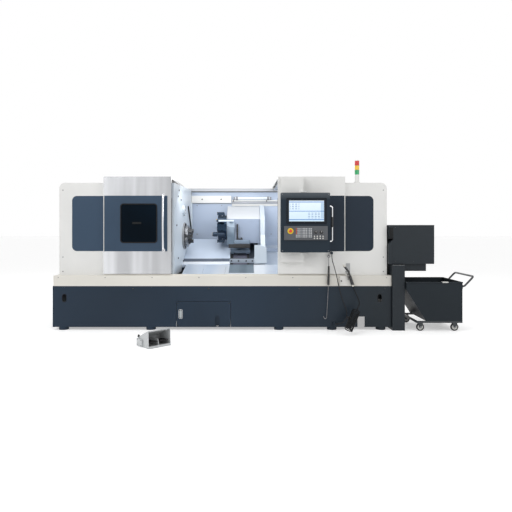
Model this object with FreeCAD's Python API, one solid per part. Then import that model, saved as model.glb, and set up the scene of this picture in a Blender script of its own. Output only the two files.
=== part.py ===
"""A slant-bed turning lathe with its chip conveyor, chip cart and foot switch, both doors open.

Millimetres, +Z up. The front of the machine faces -Y and the spindle points along +X. The heights here
count from the lower edge of the base's skirt. The finished sub-parts are raised by the skirt's clearance,
so that the origin is on the floor under the middle of the machine. Each is written to parts/NAME.step.
"""

import FreeCAD
import Part
import math
import os

V = FreeCAD.Vector
X_AXIS, Y_AXIS, Z_AXIS = V(1, 0, 0), V(0, 1, 0), V(0, 0, 1)

# ---- overall sizes ---------------------------------------------------------------------------------
LENGTH = 4200.0  # the base, end to end
DEPTH = 1900.0  # the base, front to back
BASE_TOP = 508.0
APRON_TOP = 638.0
COVER_TOP = 1795.0
DOOR_TOP = 1868.0
SHEET = 3.0  # folded sheet steel of the enclosure
GAP = 4.0  # between fixed sheet panels and what slides past them
RUN = 0.4  # between a moving piece and what guides it

FLOOR = -37.0  # the base's skirt hangs this far above the floor
FRONT = -DEPTH / 2
BACK = DEPTH / 2
LEFT_END, RIGHT_END = -LENGTH / 2, LENGTH / 2

# ---- enclosure -------------------------------------------------------------------------------------
COVER_INSET = 54.0  # the left cover stands back from the end of the base
RIGHT_INSET = 35.0
COVER_FRONT = FRONT + 75.0  # front face of the fixed covers, behind the doors
COVER_RADIUS = 70.0
OPEN_LEFT, OPEN_RIGHT = -632.0, 694.0  # the work opening with both doors open
DOOR_DEPTH = 52.0
DOOR_FRONT = COVER_FRONT - GAP - DOOR_DEPTH
DOOR_BOTTOM = 657.0
LEFT_DOOR_START = -1476.0
RIGHT_DOOR_END = 1531.0
BAND_BOTTOM, BAND_TOP = 938.0, 1630.0  # the dark band across doors and covers
BAND_PROUD = 2.0
BAND_RADIUS = 62.0
WINDOW = (-1265.0, -806.0, 1042.0, 1531.0)  # left, right, bottom, top
WINDOW_RADIUS = 38.0
WINDOW_LIP = 1.5
REAR_WALL = FRONT + 1300.0  # the rear wall of the work area
REAR_SKIN = 700.0  # back of the enclosure, where the cabinet is hung
BASE_WALL = 5.0

# ---- slant bed -------------------------------------------------------------------------------------
SPINDLE_Y, SPINDLE_Z = FRONT + 750.0, 1115.0
SLANT = math.radians(30.0)
BED_LEFT, BED_RIGHT = -1500.0, 1500.0
WAY_LEVEL = -375.0  # top of the ways, square to the slant, from the spindle axis
WAY_HEIGHT, WAY_WIDTH = 25.0, 80.0
FRONT_WAY, REAR_WAY = -300.0, 200.0  # where each way starts along the slant
BED_FOOT_FRONT, BED_FOOT_BACK = FRONT + 550.0, 480.0
BED_WALL = 40.0
SADDLE_THICK = 90.0
SADDLE_SPAN = (-310.0, 330.0)
SADDLE_LEFT, SADDLE_RIGHT = 62.0, 470.0
SLIDE_THICK = 69.0
SLIDE_LEFT, SLIDE_RIGHT = 85.0, 345.0
COVER_CLEAR = 22.6  # from the saddle's top to the top of the fixed way cover
COVER_LEVEL = WAY_LEVEL + RUN + SADDLE_THICK + COVER_CLEAR
LEAF_STEP = 6.0
LEAF_SHEET = 2.0
LEAF_LENGTH = 384.0

# ---- spindle, chuck and turret ---------------------------------------------------------------------
CHUCK_RADIUS, CHUCK_LENGTH = 152.5, 118.0
CHUCK_FACE = -500.0
SPINDLE_RADIUS, SPINDLE_BORE = 85.0, 38.0
BAR_OPENING = SPINDLE_BORE + 32.0  # radius of the hole in the end cover where bar stock goes in
JAW_LENGTH, JAW_WIDTH, JAW_HEIGHT = 62.0, 44.0, 74.0
JAW_INNER = 46.0
TURRET_REACH = 240.0  # from the spindle axis to the turret's, along the slant
TURRET_RADIUS, TURRET_LENGTH = 172.0, 122.0
TURRET_LEFT = -100.0
STATIONS = 12
HOLDER_HEIGHT = 30.0
GUARD_FRONT_X, GUARD_REAR_X = -606.0, -520.0
GUARD_THICK = 24.0


# ---- helpers ---------------------------------------------------------------------------------------
def box(x0, x1, y0, y1, z0, z1):
    """A block between two corners."""
    return Part.makeBox(x1 - x0, y1 - y0, z1 - z0, V(x0, y0, z0))


def rod(start, direction, radius, length):
    """A cylinder from start along direction."""
    return Part.makeCylinder(radius, length, start, direction)


def prism(points, along):
    """A flat outline through points, extruded by a vector."""
    wire = Part.makePolygon([V(*p) for p in points] + [V(*points[0])])
    return Part.Face(wire).extrude(along)


def prism_x(outline, x0, x1):
    """An outline of (y, z) points, extruded along X."""
    return prism([(x0, y, z) for y, z in outline], V(x1 - x0, 0, 0))


def slant(u, n):
    """The (y, z) of a place u up the slant and n square to it, from the spindle axis."""
    c, s = math.cos(SLANT), math.sin(SLANT)
    return SPINDLE_Y + u * c - n * s, SPINDLE_Z + u * s + n * c


def slant_block(x0, x1, u0, u1, n0, n1):
    """A block that lies along the slant."""
    return prism_x([slant(u0, n0), slant(u1, n0), slant(u1, n1), slant(u0, n1)], x0, x1)


def round_outline(x0, x1, z0, z1, y, radii):
    """A rectangle in a plane of constant y, with a radius for each corner, from the top left clockwise."""
    corners = [(x0, z1, 1, -1), (x1, z1, -1, -1), (x1, z0, -1, 1), (x0, z0, 1, 1)]
    edges, ends = [], []
    for (cx, cz, sx, sz), r in zip(corners, radii):
        along_z, along_x = V(cx, y, cz + sz * r), V(cx + sx * r, y, cz)
        pair = (along_z, along_x) if sx == -sz else (along_x, along_z)
        middle = r * (1 - math.sqrt(0.5))
        if r > 0:
            edges.append(Part.Arc(pair[0], V(cx + sx * middle, y, cz + sz * middle), pair[1]).toShape())
        ends.append(pair)
    for i, pair in enumerate(ends):
        start, end = pair[1], ends[(i + 1) % 4][0]
        if start.distanceToPoint(end) > 1e-6:
            edges.append(Part.LineSegment(start, end).toShape())
    return Part.Wire(Part.__sortEdges__(edges))


def round_plate(x0, x1, z0, z1, y0, y1, radii=(0, 0, 0, 0)):
    """A plate that faces the front, with rounded corners."""
    if not any(radii):
        return box(x0, x1, y0, y1, z0, z1)
    return Part.Face(round_outline(x0, x1, z0, z1, y0, radii)).extrude(V(0, y1 - y0, 0))


def tray(x0, x1, z0, z1, y0, y1, radii=(0, 0, 0, 0), wall=SHEET):
    """A folded sheet panel: a front face with a return on every edge, open at the back."""
    inner = [max(r - wall, 0) for r in radii]
    hollow = round_plate(x0 + wall, x1 - wall, z0 + wall, z1 - wall, y0 + wall, y1 + 1, inner)
    return round_plate(x0, x1, z0, z1, y0, y1, radii).cut(hollow)


def slot_hole(x, z, width, height, y0, y1):
    """An upright oblong hole through a front panel."""
    r = width / 2 - 0.01
    return round_plate(x - width / 2, x + width / 2, z - height / 2, z + height / 2, y0, y1, (r,) * 4)


def bent_route(points, radii=None):
    """Straight runs joined by tangent arcs. Returns the wire and the radius of each arc."""
    points = [V(*p) for p in points]
    edges, used, start = [], [], points[0]
    for i in range(1, len(points) - 1):
        before, here, after = points[i - 1], points[i], points[i + 1]
        a, b = (before - here).normalize(), (after - here).normalize()
        half_turn = (math.pi - a.getAngle(b)) / 2
        shorter = min(before.distanceToPoint(here), after.distanceToPoint(here))
        radius = radii[i - 1] if radii else 0.45 * shorter / math.tan(half_turn)
        cut = radius * math.tan(half_turn)
        p, q = here + a * cut, here + b * cut
        bisector = (a + b).normalize()
        centre = here + bisector * (radius / math.cos(half_turn))
        edges.append(Part.LineSegment(start, p).toShape())
        edges.append(Part.Arc(p, centre - bisector * radius, q).toShape())
        used.append(radius)
        start = q
    edges.append(Part.LineSegment(start, points[-1]).toShape())
    return Part.Wire(edges), used


def tube(points, radius, radii=None):
    """A round bar or cord that follows a route of straight runs and tangent arcs."""
    route, used = bent_route(points, radii)
    start, towards = V(*points[0]), V(*points[1]) - V(*points[0])
    profile = Part.Wire([Part.makeCircle(radius, start, towards)])
    solid = route.makePipeShell([profile], True, True)
    expected = math.pi * radius**2 * route.Length
    if abs(solid.Volume / expected - 1) > 0.01:
        raise ValueError(f"the tube holds {solid.Volume:.0f}, not {expected:.0f}")
    return solid, used


def group(*shapes):
    """Separate solids of one node."""
    return Part.makeCompound(list(shapes))


# ---- base and enclosure ----------------------------------------------------------------------------
PANEL_FOLD = 22.0  # depth of a folded panel's edge
NOTCH_LEFT, NOTCH_RIGHT, NOTCH_TOP = RIGHT_END - 420.0, RIGHT_END - 332.0, 130.0
HAND_HOLE = (50.0, 95.0)  # width, height
HAND_HOLE_X, HAND_HOLE_Z = RIGHT_END - 145.0, 360.0
TANK_LEFT, TANK_RIGHT, TANK_TOP = -564.0, 105.0, 316.0
TANK_DEPTH, TANK_LIFT = 500.0, 12.0
DRAIN_SLOT_X, DRAIN_SLOT_Z = -58.0, 74.0
GAUGE_X, GAUGE_Z = -514.0, 161.0
INSET_LEFT, INSET_RIGHT = LEFT_END + 215.0, RIGHT_END - 203.0
BED_BOLT = 11.0
SILL_DEPTH = 115.0
PAD_X = (LEFT_END + 120.0, -890.0, 707.0, 1370.0, RIGHT_END - 120.0)
PAD_RADIUS, PAD_INSET = 60.0, 58.0
RAIL_HEIGHT, RAIL_WIDTH = 14.0, 20.0


def base_skirt():
    front = tray(LEFT_END, RIGHT_END, 0, BASE_TOP, FRONT, FRONT + PANEL_FOLD, wall=BASE_WALL)
    back = box(LEFT_END, RIGHT_END, BACK - BASE_WALL, BACK, 0, BASE_TOP)
    notch = box(NOTCH_LEFT, NOTCH_RIGHT, FRONT - 1, BACK + 1, -1, NOTCH_TOP)
    tank_way = box(TANK_LEFT - GAP, TANK_RIGHT + GAP, FRONT - 1, FRONT + PANEL_FOLD + 1, -1, TANK_TOP + GAP)
    front = front.cut(notch).cut(tank_way)
    x, _, z = CABLE_ROUTE[-1]
    gland = box(x - 18, x, CABLE_Y - GLAND_HALF, FRONT + 1, z - GLAND_HALF, z + GLAND_HALF)
    for side in (-1, 1):
        hole = slot_hole(side * HAND_HOLE_X, HAND_HOLE_Z, *HAND_HOLE, FRONT - 1, FRONT + PANEL_FOLD)
        front = front.cut(hole)
    front = front.fuse(gland)
    inner_front, inner_back = FRONT + PANEL_FOLD, BACK - BASE_WALL
    left = box(LEFT_END, LEFT_END + BASE_WALL, inner_front, inner_back, 0, BASE_TOP)
    right = box(RIGHT_END - BASE_WALL, RIGHT_END, inner_front, inner_back, 0, BASE_TOP)
    trough = conveyor_passage()
    pads = [
        rod(V(x, y, FLOOR), Z_AXIS, PAD_RADIUS, -FLOOR)
        for x in PAD_X for y in (FRONT + PAD_INSET, BACK - PAD_INSET)
    ]
    return group(front, back.cut(notch), left, right.cut(trough), *pads)


def apron():
    """The pale band over the base: a folded front with a sill, two ends and a back."""
    left, right = LEFT_END + 8, RIGHT_END
    front = tray(left, right, BASE_TOP, APRON_TOP, FRONT, FRONT + SILL_DEPTH)
    behind, back = FRONT + SILL_DEPTH, BACK - BASE_WALL
    ends = [
        box(left, left + SHEET, behind, back, BASE_TOP, APRON_TOP),
        box(right - SHEET, right, behind, back, BASE_TOP, APRON_TOP),
    ]
    rear = box(left, right, back, BACK, BASE_TOP, APRON_TOP)
    low = APRON_TOP - SHEET
    decks = [
        box(left + SHEET, BED_LEFT - GAP, behind, back, low, APRON_TOP),
        box(BED_LEFT - GAP, GUARD_FRONT_X - GUARD_THICK, behind, BED_FOOT_FRONT - GAP, low, APRON_TOP),
        box(BED_RIGHT + GAP, right - SHEET, behind, back, low, APRON_TOP),
        box(BED_LEFT - GAP, BED_RIGHT + GAP, REAR_SKIN - 20, back, low, APRON_TOP),
    ]
    y = DOOR_FRONT + DOOR_DEPTH / 2
    x0, x1 = LEFT_DOOR_START, RIGHT_DOOR_END
    rail = box(x0, x1, y - RAIL_WIDTH / 2, y + RAIL_WIDTH / 2, APRON_TOP, APRON_TOP + RAIL_HEIGHT)
    return group(front.fuse(rail), *ends, rear, *decks)


def left_cover():
    """The headstock's cover: one folded shell, closed by the guard, with the bar's way in on its end."""
    left, right = LEFT_END + COVER_INSET, GUARD_FRONT_X - GUARD_THICK - GAP
    bar_way = rod(V(left - 1, SPINDLE_Y, SPINDLE_Z), X_AXIS, BAR_OPENING, SHEET + 2)
    radii = (COVER_RADIUS, 0, 0, 0)
    outer = round_plate(left, right, APRON_TOP, COVER_TOP, COVER_FRONT, REAR_SKIN, radii)
    inner_radii = (COVER_RADIUS - SHEET, 0, 0, 0)
    inner = round_plate(
        left + SHEET, right + 1, APRON_TOP - 1, COVER_TOP - SHEET, COVER_FRONT + SHEET, REAR_SKIN - SHEET,
        inner_radii
    )
    band = raised_band(INSET_LEFT, right - 20, (BAND_RADIUS, 0, 0, BAND_RADIUS))
    return outer.cut(inner).cut(bar_way).fuse(band)


def right_cover():
    """The right end's shell, and the fixed front behind the right door."""
    left, right = BED_RIGHT + GAP, RIGHT_END - RIGHT_INSET
    radii = (0, COVER_RADIUS, 0, 0)
    outer = round_plate(left, right, APRON_TOP, COVER_TOP, COVER_FRONT, REAR_SKIN, radii)
    inner_radii = (0, COVER_RADIUS - SHEET, 0, 0)
    inner = round_plate(
        left - 1, right - SHEET, APRON_TOP - 1, COVER_TOP - SHEET, COVER_FRONT + SHEET, REAR_SKIN - SHEET,
        inner_radii
    )
    shell = outer.cut(inner).fuse(raised_band(left + 40, INSET_RIGHT, (0, BAND_RADIUS, BAND_RADIUS, 0)))
    front = tray(OPEN_RIGHT + 10, BED_RIGHT, APRON_TOP, COVER_TOP, COVER_FRONT, COVER_FRONT + PANEL_FOLD)
    return group(shell, front)


def raised_band(x0, x1, radii):
    """The dark raised band on a fixed cover, rounded at its outer end."""
    return round_plate(x0, x1, BAND_BOTTOM, BAND_TOP, COVER_FRONT - BAND_PROUD, COVER_FRONT, radii)


BEAM_BOTTOM, BEAM_TOP = 1768.0, 1813.0
LIGHT_BOX_TOP, LIGHT_BOX_BOTTOM = 1708.0, 1602.0
LIGHT_BOX_RIGHT = 76.0
LIGHT_BOX_DEPTH = 46.0
WALL_BOTTOM = 1085.0


def rear_enclosure():
    """Rear wall, beam, roof strips, back skin and right end wall, each a separate panel."""
    left, right = GUARD_REAR_X, BED_RIGHT
    deep = REAR_WALL + SHEET
    wall = box(left, right, REAR_WALL, deep, WALL_BOTTOM, BEAM_BOTTOM)
    beam = tray(left - 60, right, BEAM_BOTTOM, BEAM_TOP, REAR_WALL - 30, REAR_WALL + 30)
    rail = box(left - 60, right, REAR_WALL - 12, REAR_WALL + 8, BEAM_TOP, BEAM_TOP + 6)
    lip = box(left, LIGHT_BOX_RIGHT, REAR_WALL - LIGHT_BOX_DEPTH, REAR_WALL, LIGHT_BOX_BOTTOM, LIGHT_BOX_TOP)
    roof = box(left - 60, right, REAR_WALL + 30, REAR_SKIN, COVER_TOP - SHEET, COVER_TOP)
    back = box(left - 60, right, REAR_SKIN - SHEET, REAR_SKIN, APRON_TOP, COVER_TOP - SHEET)
    end = box(right - SHEET, right, COVER_FRONT + PANEL_FOLD, REAR_WALL, APRON_TOP, BEAM_BOTTOM)
    right_roof = box(
        OPEN_RIGHT + 10, right, COVER_FRONT + PANEL_FOLD, REAR_WALL - 30, COVER_TOP - SHEET, COVER_TOP,
    )
    return group(wall, beam.fuse(rail), lip, roof, back, end.cut(bed_clearance(right)), right_roof)


def bed_clearance(x):
    """What an end wall leaves open for the bed and its way covers."""
    low, high = slant(SADDLE_SPAN[0] - 120, COVER_LEVEL + 20), slant(520, COVER_LEVEL + 20)
    outline = [low, high, (high[0], APRON_TOP - 1), (low[0], APRON_TOP - 1)]
    return prism_x(outline, x - 10, x + 10)


LAMP_RADIUS = 21.0


def work_lamp():
    """A sealed tube lamp with end clamps, under the rear beam."""
    y, z = REAR_WALL - 24 - LAMP_RADIUS, (LIGHT_BOX_TOP + LIGHT_BOX_BOTTOM) / 2 + 14
    x0, x1 = LIGHT_BOX_RIGHT + 40, OPEN_RIGHT - 20
    parts = rod(V(x0, y, z), X_AXIS, LAMP_RADIUS, x1 - x0)
    for x in (x0 + 30, x1 - 60):
        parts = parts.fuse(box(x, x + 30, y - 8, REAR_WALL, z - LAMP_RADIUS - 6, z + LAMP_RADIUS + 6))
    return parts


GUARD_BOSS_Y, GUARD_BOSS_Z, GUARD_BOSS_RADIUS = -300.0, 1474.0, 68.0


def guard_x(y):
    """Where the guard's work side is at a depth y."""
    share = (y - COVER_FRONT) / (REAR_WALL - COVER_FRONT)
    return GUARD_FRONT_X + share * (GUARD_REAR_X - GUARD_FRONT_X)


def spindle_guard():
    """The cheek between headstock and work area: a wedge in plan with a sloping top and a chuck hole."""
    back_x = GUARD_FRONT_X - GUARD_THICK
    front_y, rear_y = COVER_FRONT, REAR_WALL - 32
    plan = [
        (back_x, front_y, APRON_TOP),
        (guard_x(front_y), front_y, APRON_TOP),
        (guard_x(rear_y), rear_y, APRON_TOP),
        (guard_x(rear_y) - GUARD_THICK, rear_y, APRON_TOP),
        (back_x, front_y + 2 * GUARD_THICK, APRON_TOP),
    ]
    cheek = prism(plan, V(0, 0, COVER_TOP - APRON_TOP))
    hole = rod(V(back_x - 50, SPINDLE_Y, SPINDLE_Z), X_AXIS, CHUCK_RADIUS + 16, 300)
    ring_x = guard_x(SPINDLE_Y) - GUARD_THICK
    ring = rod(V(ring_x, SPINDLE_Y, SPINDLE_Z), X_AXIS, CHUCK_RADIUS + 34, GUARD_THICK + 14)
    boss_x = guard_x(GUARD_BOSS_Y) - GUARD_THICK / 2
    boss = rod(V(boss_x, GUARD_BOSS_Y, GUARD_BOSS_Z), X_AXIS, GUARD_BOSS_RADIUS, GUARD_THICK / 2 + 26)
    seal = box(guard_x(rear_y) - 8, guard_x(rear_y) + 16, rear_y - 24, rear_y, WALL_BOTTOM, LIGHT_BOX_BOTTOM)
    low, high = slant(SADDLE_SPAN[0] - 60, COVER_LEVEL + 12), slant(460, COVER_LEVEL + 12)
    outline = [low, high, (high[0], APRON_TOP - 1), (low[0], APRON_TOP - 1)]
    bed_way = prism_x(outline, back_x - 10, 0)
    return cheek.fuse([ring, boss, seal]).cut(hole).cut(bed_way)


CHUTE_SEAMS = (-262.0, 27.0)
CHUTE_FRONT = COVER_FRONT + PANEL_FOLD + 1
CHUTE_FLANGE = 14.0  # how far the chute lies flat on the sill
CHUTE_REAR = (FRONT + 598.0, 728.0)


def chute_panels():
    """Three chip chutes side by side with narrow seams, from the bed's lip down to the sill."""
    y0, y2, z0, (y1, z1) = CHUTE_FRONT, CHUTE_FRONT + CHUTE_FLANGE, APRON_TOP + SHEET, CHUTE_REAR
    outline = [(y0, z0), (y2, z0), (y1, z1), (y1, z1 - SHEET), (y2, z0 - SHEET), (y0, z0 - SHEET)]
    edges = [GUARD_FRONT_X + 90, *CHUTE_SEAMS, BED_RIGHT - 10]
    return group(*[prism_x(outline, a + 1, b - 1) for a, b in zip(edges, edges[1:])])


CABINET = (-900.0, 950.0, 690.0, 1780.0)  # left, right, bottom, top
CABINET_DOOR_DEPTH = 24.0


def electrical_cabinet():
    """The closed cabinet on the back, with two door leaves."""
    x0, x1, z0, z1 = CABINET
    seam = BACK - CABINET_DOOR_DEPTH
    body = box(x0, x1, REAR_SKIN, seam, z0, z1)
    middle = (x0 + x1) / 2
    doors = [box(a + 6, b - 6, seam, BACK, z0 + 6, z1 - 6) for a, b in ((x0, middle + 3), (middle - 3, x1))]
    return body.fuse(doors)


# ---- bed, headstock and chuck ----------------------------------------------------------------------
BED_RIBS = (-1450.0, -725.0, 0.0, 725.0, 1450.0)  # x of each cross rib
BED_RIB_WIDTH = 80.0
BED_DECK = WAY_LEVEL - WAY_HEIGHT
BED_SPAN = (-330.0, 420.0)
HEAD_LEFT, HEAD_RIGHT = -1450.0, -690.0
HEAD_HALF = 230.0
CHUCK_BACK = CHUCK_FACE - CHUCK_LENGTH
SHAFT_CLEAR = 0.06


def bed_casting():
    """A hollow casting that stands on the floor, with cross ribs and two box ways on its slant."""
    low, high = slant(BED_SPAN[0], BED_DECK), slant(BED_SPAN[1], BED_DECK)
    outline = [
        (BED_FOOT_FRONT, FLOOR), (BED_FOOT_FRONT, 540), low, high, (BED_FOOT_BACK, 900),
        (BED_FOOT_BACK, FLOOR),
    ]
    bed = prism_x(outline, BED_LEFT, BED_RIGHT)
    for a, b in zip(BED_RIBS, BED_RIBS[1:]):
        x0, x1 = a + BED_RIB_WIDTH / 2, b - BED_RIB_WIDTH / 2
        y0, y1 = BED_FOOT_FRONT + BED_WALL, BED_FOOT_BACK - BED_WALL
        roof = [
            slant(BED_SPAN[0] + BED_WALL, BED_DECK - BED_WALL),
            slant(BED_SPAN[1] - 60, BED_DECK - BED_WALL),
        ]
        pocket = prism_x([(y0, FLOOR - 1), (y0, 500), *roof, (y1, 840), (y1, FLOOR - 1)], x0, x1)
        bed = bed.cut(pocket)
    ways = [
        slant_block(HEAD_RIGHT, BED_RIGHT, u, u + WAY_WIDTH, BED_DECK - 5, WAY_LEVEL)
        for u in (FRONT_WAY, REAR_WAY)
    ]
    return bed.fuse(ways).removeSplitter()


def headstock():
    """The spindle's casting: a chamfered block along the slant, bored for the spindle."""
    h, c = HEAD_HALF, 60
    outline = [
        slant(-h, BED_DECK), slant(h, BED_DECK), slant(h, h - c), slant(h - c, h), slant(c - h, h),
        slant(-h, h - c),
    ]
    block = prism_x(outline, HEAD_LEFT, HEAD_RIGHT)
    bore = rod(
        V(HEAD_LEFT - 1, SPINDLE_Y, SPINDLE_Z), X_AXIS, SPINDLE_RADIUS + SHAFT_CLEAR,
        HEAD_RIGHT - HEAD_LEFT + 2,
    )
    return block.cut(bore)


def around_spindle(shape, turn):
    """A copy turned about the spindle axis, in degrees."""
    copy = shape.copy()
    copy.rotate(V(0, SPINDLE_Y, SPINDLE_Z), X_AXIS, turn)
    return copy


JAW_SLOT = 26.0
JAW_TURNS = (90.0, 210.0, 330.0)
BODY_BOLT = 9.0


def chuck_body():
    """The chuck and the spindle behind it, turned in one profile, with three T-slots and its bolts."""
    r, bore = CHUCK_RADIUS, SPINDLE_BORE
    x0, x1 = CHUCK_BACK, CHUCK_FACE
    profile = [
        (HEAD_LEFT - 60, bore), (HEAD_LEFT - 60, SPINDLE_RADIUS), (x0 - 30, SPINDLE_RADIUS),
        (x0 - 30, r - 22), (x0, r - 22), (x0, r - 4), (x0 + 4, r), (x1 - 26, r), (x1 - 26, r - 5),
        (x1 - 20, r - 5), (x1 - 20, r), (x1 - 8, r), (x1, r - 8), (x1, bore + 6), (x1 - 6, bore),
    ]  # fmt: skip
    face = Part.Face(Part.makePolygon([V(x, SPINDLE_Y, SPINDLE_Z + z) for x, z in profile + profile[:1]]))
    body = face.revolve(V(0, SPINDLE_Y, SPINDLE_Z), X_AXIS, 360)
    y, z = SPINDLE_Y, SPINDLE_Z
    neck = box(x1 - 16, x1 + 1, y - JAW_SLOT / 2, y + JAW_SLOT / 2, z + bore, z + r + 1)
    wide = box(x1 - 34, x1 - 16, y - JAW_SLOT, y + JAW_SLOT, z + bore + 8, z + r + 1)
    bolt = rod(V(x1 - 12, y, z + r - 34), X_AXIS, BODY_BOLT, 14)
    cuts = [around_spindle(neck.fuse(wide), turn) for turn in JAW_TURNS]
    cuts += [around_spindle(bolt, turn + 60) for turn in JAW_TURNS]
    return body.cut(cuts)


def chuck_jaw(turn):
    """A stepped top jaw on its T-shaped master jaw, at its slot's angle."""
    x1, y, z = CHUCK_FACE, SPINDLE_Y, SPINDLE_Z
    low, high = z + JAW_INNER, z + JAW_INNER + JAW_HEIGHT
    half, neck, c = JAW_WIDTH / 2, JAW_SLOT / 2 - RUN, RUN
    top = box(x1 + c, x1 + JAW_LENGTH, y - half, y + half, low, high)
    step = box(x1 + JAW_LENGTH - 22, x1 + JAW_LENGTH + 1, y - half - 1, y + half + 1, low - 1, low + 22)
    step_high = box(
        x1 + JAW_LENGTH - 44, x1 + JAW_LENGTH + 1, y - half - 1, y + half + 1, high - 20, high + 1,
    )
    stem = box(x1 - 16, x1 + c, y - neck, y + neck, low + 10, high - 6)
    foot = box(x1 - 34 + c, x1 - 16 - c, y - JAW_SLOT + c, y + JAW_SLOT - c, low + 10, high - 6)
    stem_low = box(x1 - 16 - c, x1 - 16, y - neck, y + neck, low + 10, high - 6)
    jaw = top.cut(step).cut(step_high).fuse([stem, stem_low, foot])
    for across in (low + 26, high - 18):
        jaw = jaw.cut(rod(V(x1 + JAW_LENGTH - 30, y, across), X_AXIS, 8, 31))
    return around_spindle(jaw.removeSplitter(), turn)


# ---- carriage, turret and tailstock ----------------------------------------------------------------
SADDLE_FOOT = WAY_LEVEL + RUN
SADDLE_TOP = SADDLE_FOOT + SADDLE_THICK
SLIDE_FOOT = SADDLE_TOP + RUN
SLIDE_TOP = SLIDE_FOOT + SLIDE_THICK
SLIDE_RAIL = 24.0
TURRET_Y, TURRET_Z = slant(TURRET_REACH, 0)
HOUSING_LEFT, HOUSING_RIGHT = TURRET_LEFT + TURRET_LENGTH + 2, 134.0
HOUSING_HALF = 100.0
MOTOR_RADIUS = 48.0
HOOD_FRONT, HOOD_REAR = FRONT + 900.0, REAR_WALL - 50
HOOD_BOTTOM, HOOD_FOLD, HOOD_TOP = 1012.0, 1354.0, 1550.0
SHIELD_LEFT, SHIELD_RIGHT = 506.0, 560.0


def slant_rod(x, u, n, radius, n1):
    """A round bar square to the slant."""
    y0, z0 = slant(u, n)
    y1, z1 = slant(u, n1)
    return rod(V(x, y0, z0), V(0, y1 - y0, z1 - z0), radius, n1 - n)


def saddle():
    """The carriage on the bed's ways: side wings, cross ways, a bolted front plate and a ribbed cover."""
    x0, x1, (u0, u1) = SADDLE_LEFT, SADDLE_RIGHT, SADDLE_SPAN
    body = slant_block(x0, x1, u0, u1, SADDLE_FOOT, SADDLE_TOP - 40)
    rails = [
        slant_block(x, x + SLIDE_RAIL, u0 + 16, u1, SADDLE_TOP - 41, SADDLE_TOP)
        for x in (SLIDE_LEFT + 4, SLIDE_RIGHT - SLIDE_RAIL - 4)
    ]
    flange = slant_block(x0 + 16, x1 + 12, u0 - 14, u0 + 14, SADDLE_FOOT + 20, SADDLE_TOP - 20)
    bolts = [
        slant_rod(x, u0, SADDLE_TOP - 21, BED_BOLT, SADDLE_TOP - 8)
        for x in (x0 + 36, x0 + 130, x1 - 130, x1 - 16)
    ]
    low = slant(u0 - 14, SADDLE_TOP - 20)
    skirt = prism_x(
        [low, (low[0], low[1] - 26), (low[0] - 22, low[1] - 26), (low[0] - 22, low[1] - 8)], x0,
        SLIDE_RIGHT + 50,
    )
    between = (SLIDE_LEFT + SLIDE_RAIL + 12, SLIDE_RIGHT - SLIDE_RAIL - 12)
    fins = [
        slant_block(*between, u, u + 58, SADDLE_TOP - 41, SADDLE_TOP - 30 + 4 * i)
        for i, u in enumerate((-270, -206, -142))
    ]
    return body.fuse([*rails, flange, *bolts, skirt, *fins])


def cross_slide():
    """The plate that carries the turret across the carriage."""
    plate = slant_block(SLIDE_LEFT, SLIDE_RIGHT, -30, SADDLE_SPAN[1] - 20, SLIDE_FOOT, SLIDE_TOP)
    under = slant_block(
        SLIDE_LEFT + SLIDE_RAIL + 16, SLIDE_RIGHT - SLIDE_RAIL - 16, -31, SADDLE_SPAN[1] - 19,
        SLIDE_FOOT - 1, SLIDE_FOOT + 24
    )
    nose = slant_block(SLIDE_LEFT + 60, SLIDE_RIGHT + 12, -52, -30, SLIDE_FOOT + 30, SLIDE_TOP + 6)
    bar = slant_block(162, 186, 30, 46, SLIDE_TOP, SLIDE_TOP + 118)
    bar_foot = slant_block(186, 236, 20, 46, SLIDE_TOP, SLIDE_TOP + 16)
    return plate.cut(under).fuse([nose, bar, bar_foot]).removeSplitter()


def turret_housing():
    """The turret's gear housing on the cross slide, with a bearing boss and an indexing motor behind."""
    u, h = TURRET_REACH, HOUSING_HALF
    outline = [
        slant(u - h - 20, SLIDE_TOP), slant(u + h - 60, SLIDE_TOP), slant(u + h - 60, h - 30),
        slant(u + h - 90, h), slant(u - h + 36, h), slant(u - h, h - 36), slant(u - h, -110),
    ]  # fmt: skip
    block = prism_x(outline, HOUSING_LEFT, HOUSING_RIGHT)
    boss = rod(V(HOUSING_LEFT - 1.5, TURRET_Y, TURRET_Z), X_AXIS, 88, 10)
    bore = rod(V(HOUSING_LEFT - 2, TURRET_Y, TURRET_Z), X_AXIS, 40 + SHAFT_CLEAR, 60)
    motor = rod(V(HOUSING_RIGHT, TURRET_Y, TURRET_Z), X_AXIS, MOTOR_RADIUS, 210)
    return block.fuse([boss, motor]).cut(bore)


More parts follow.
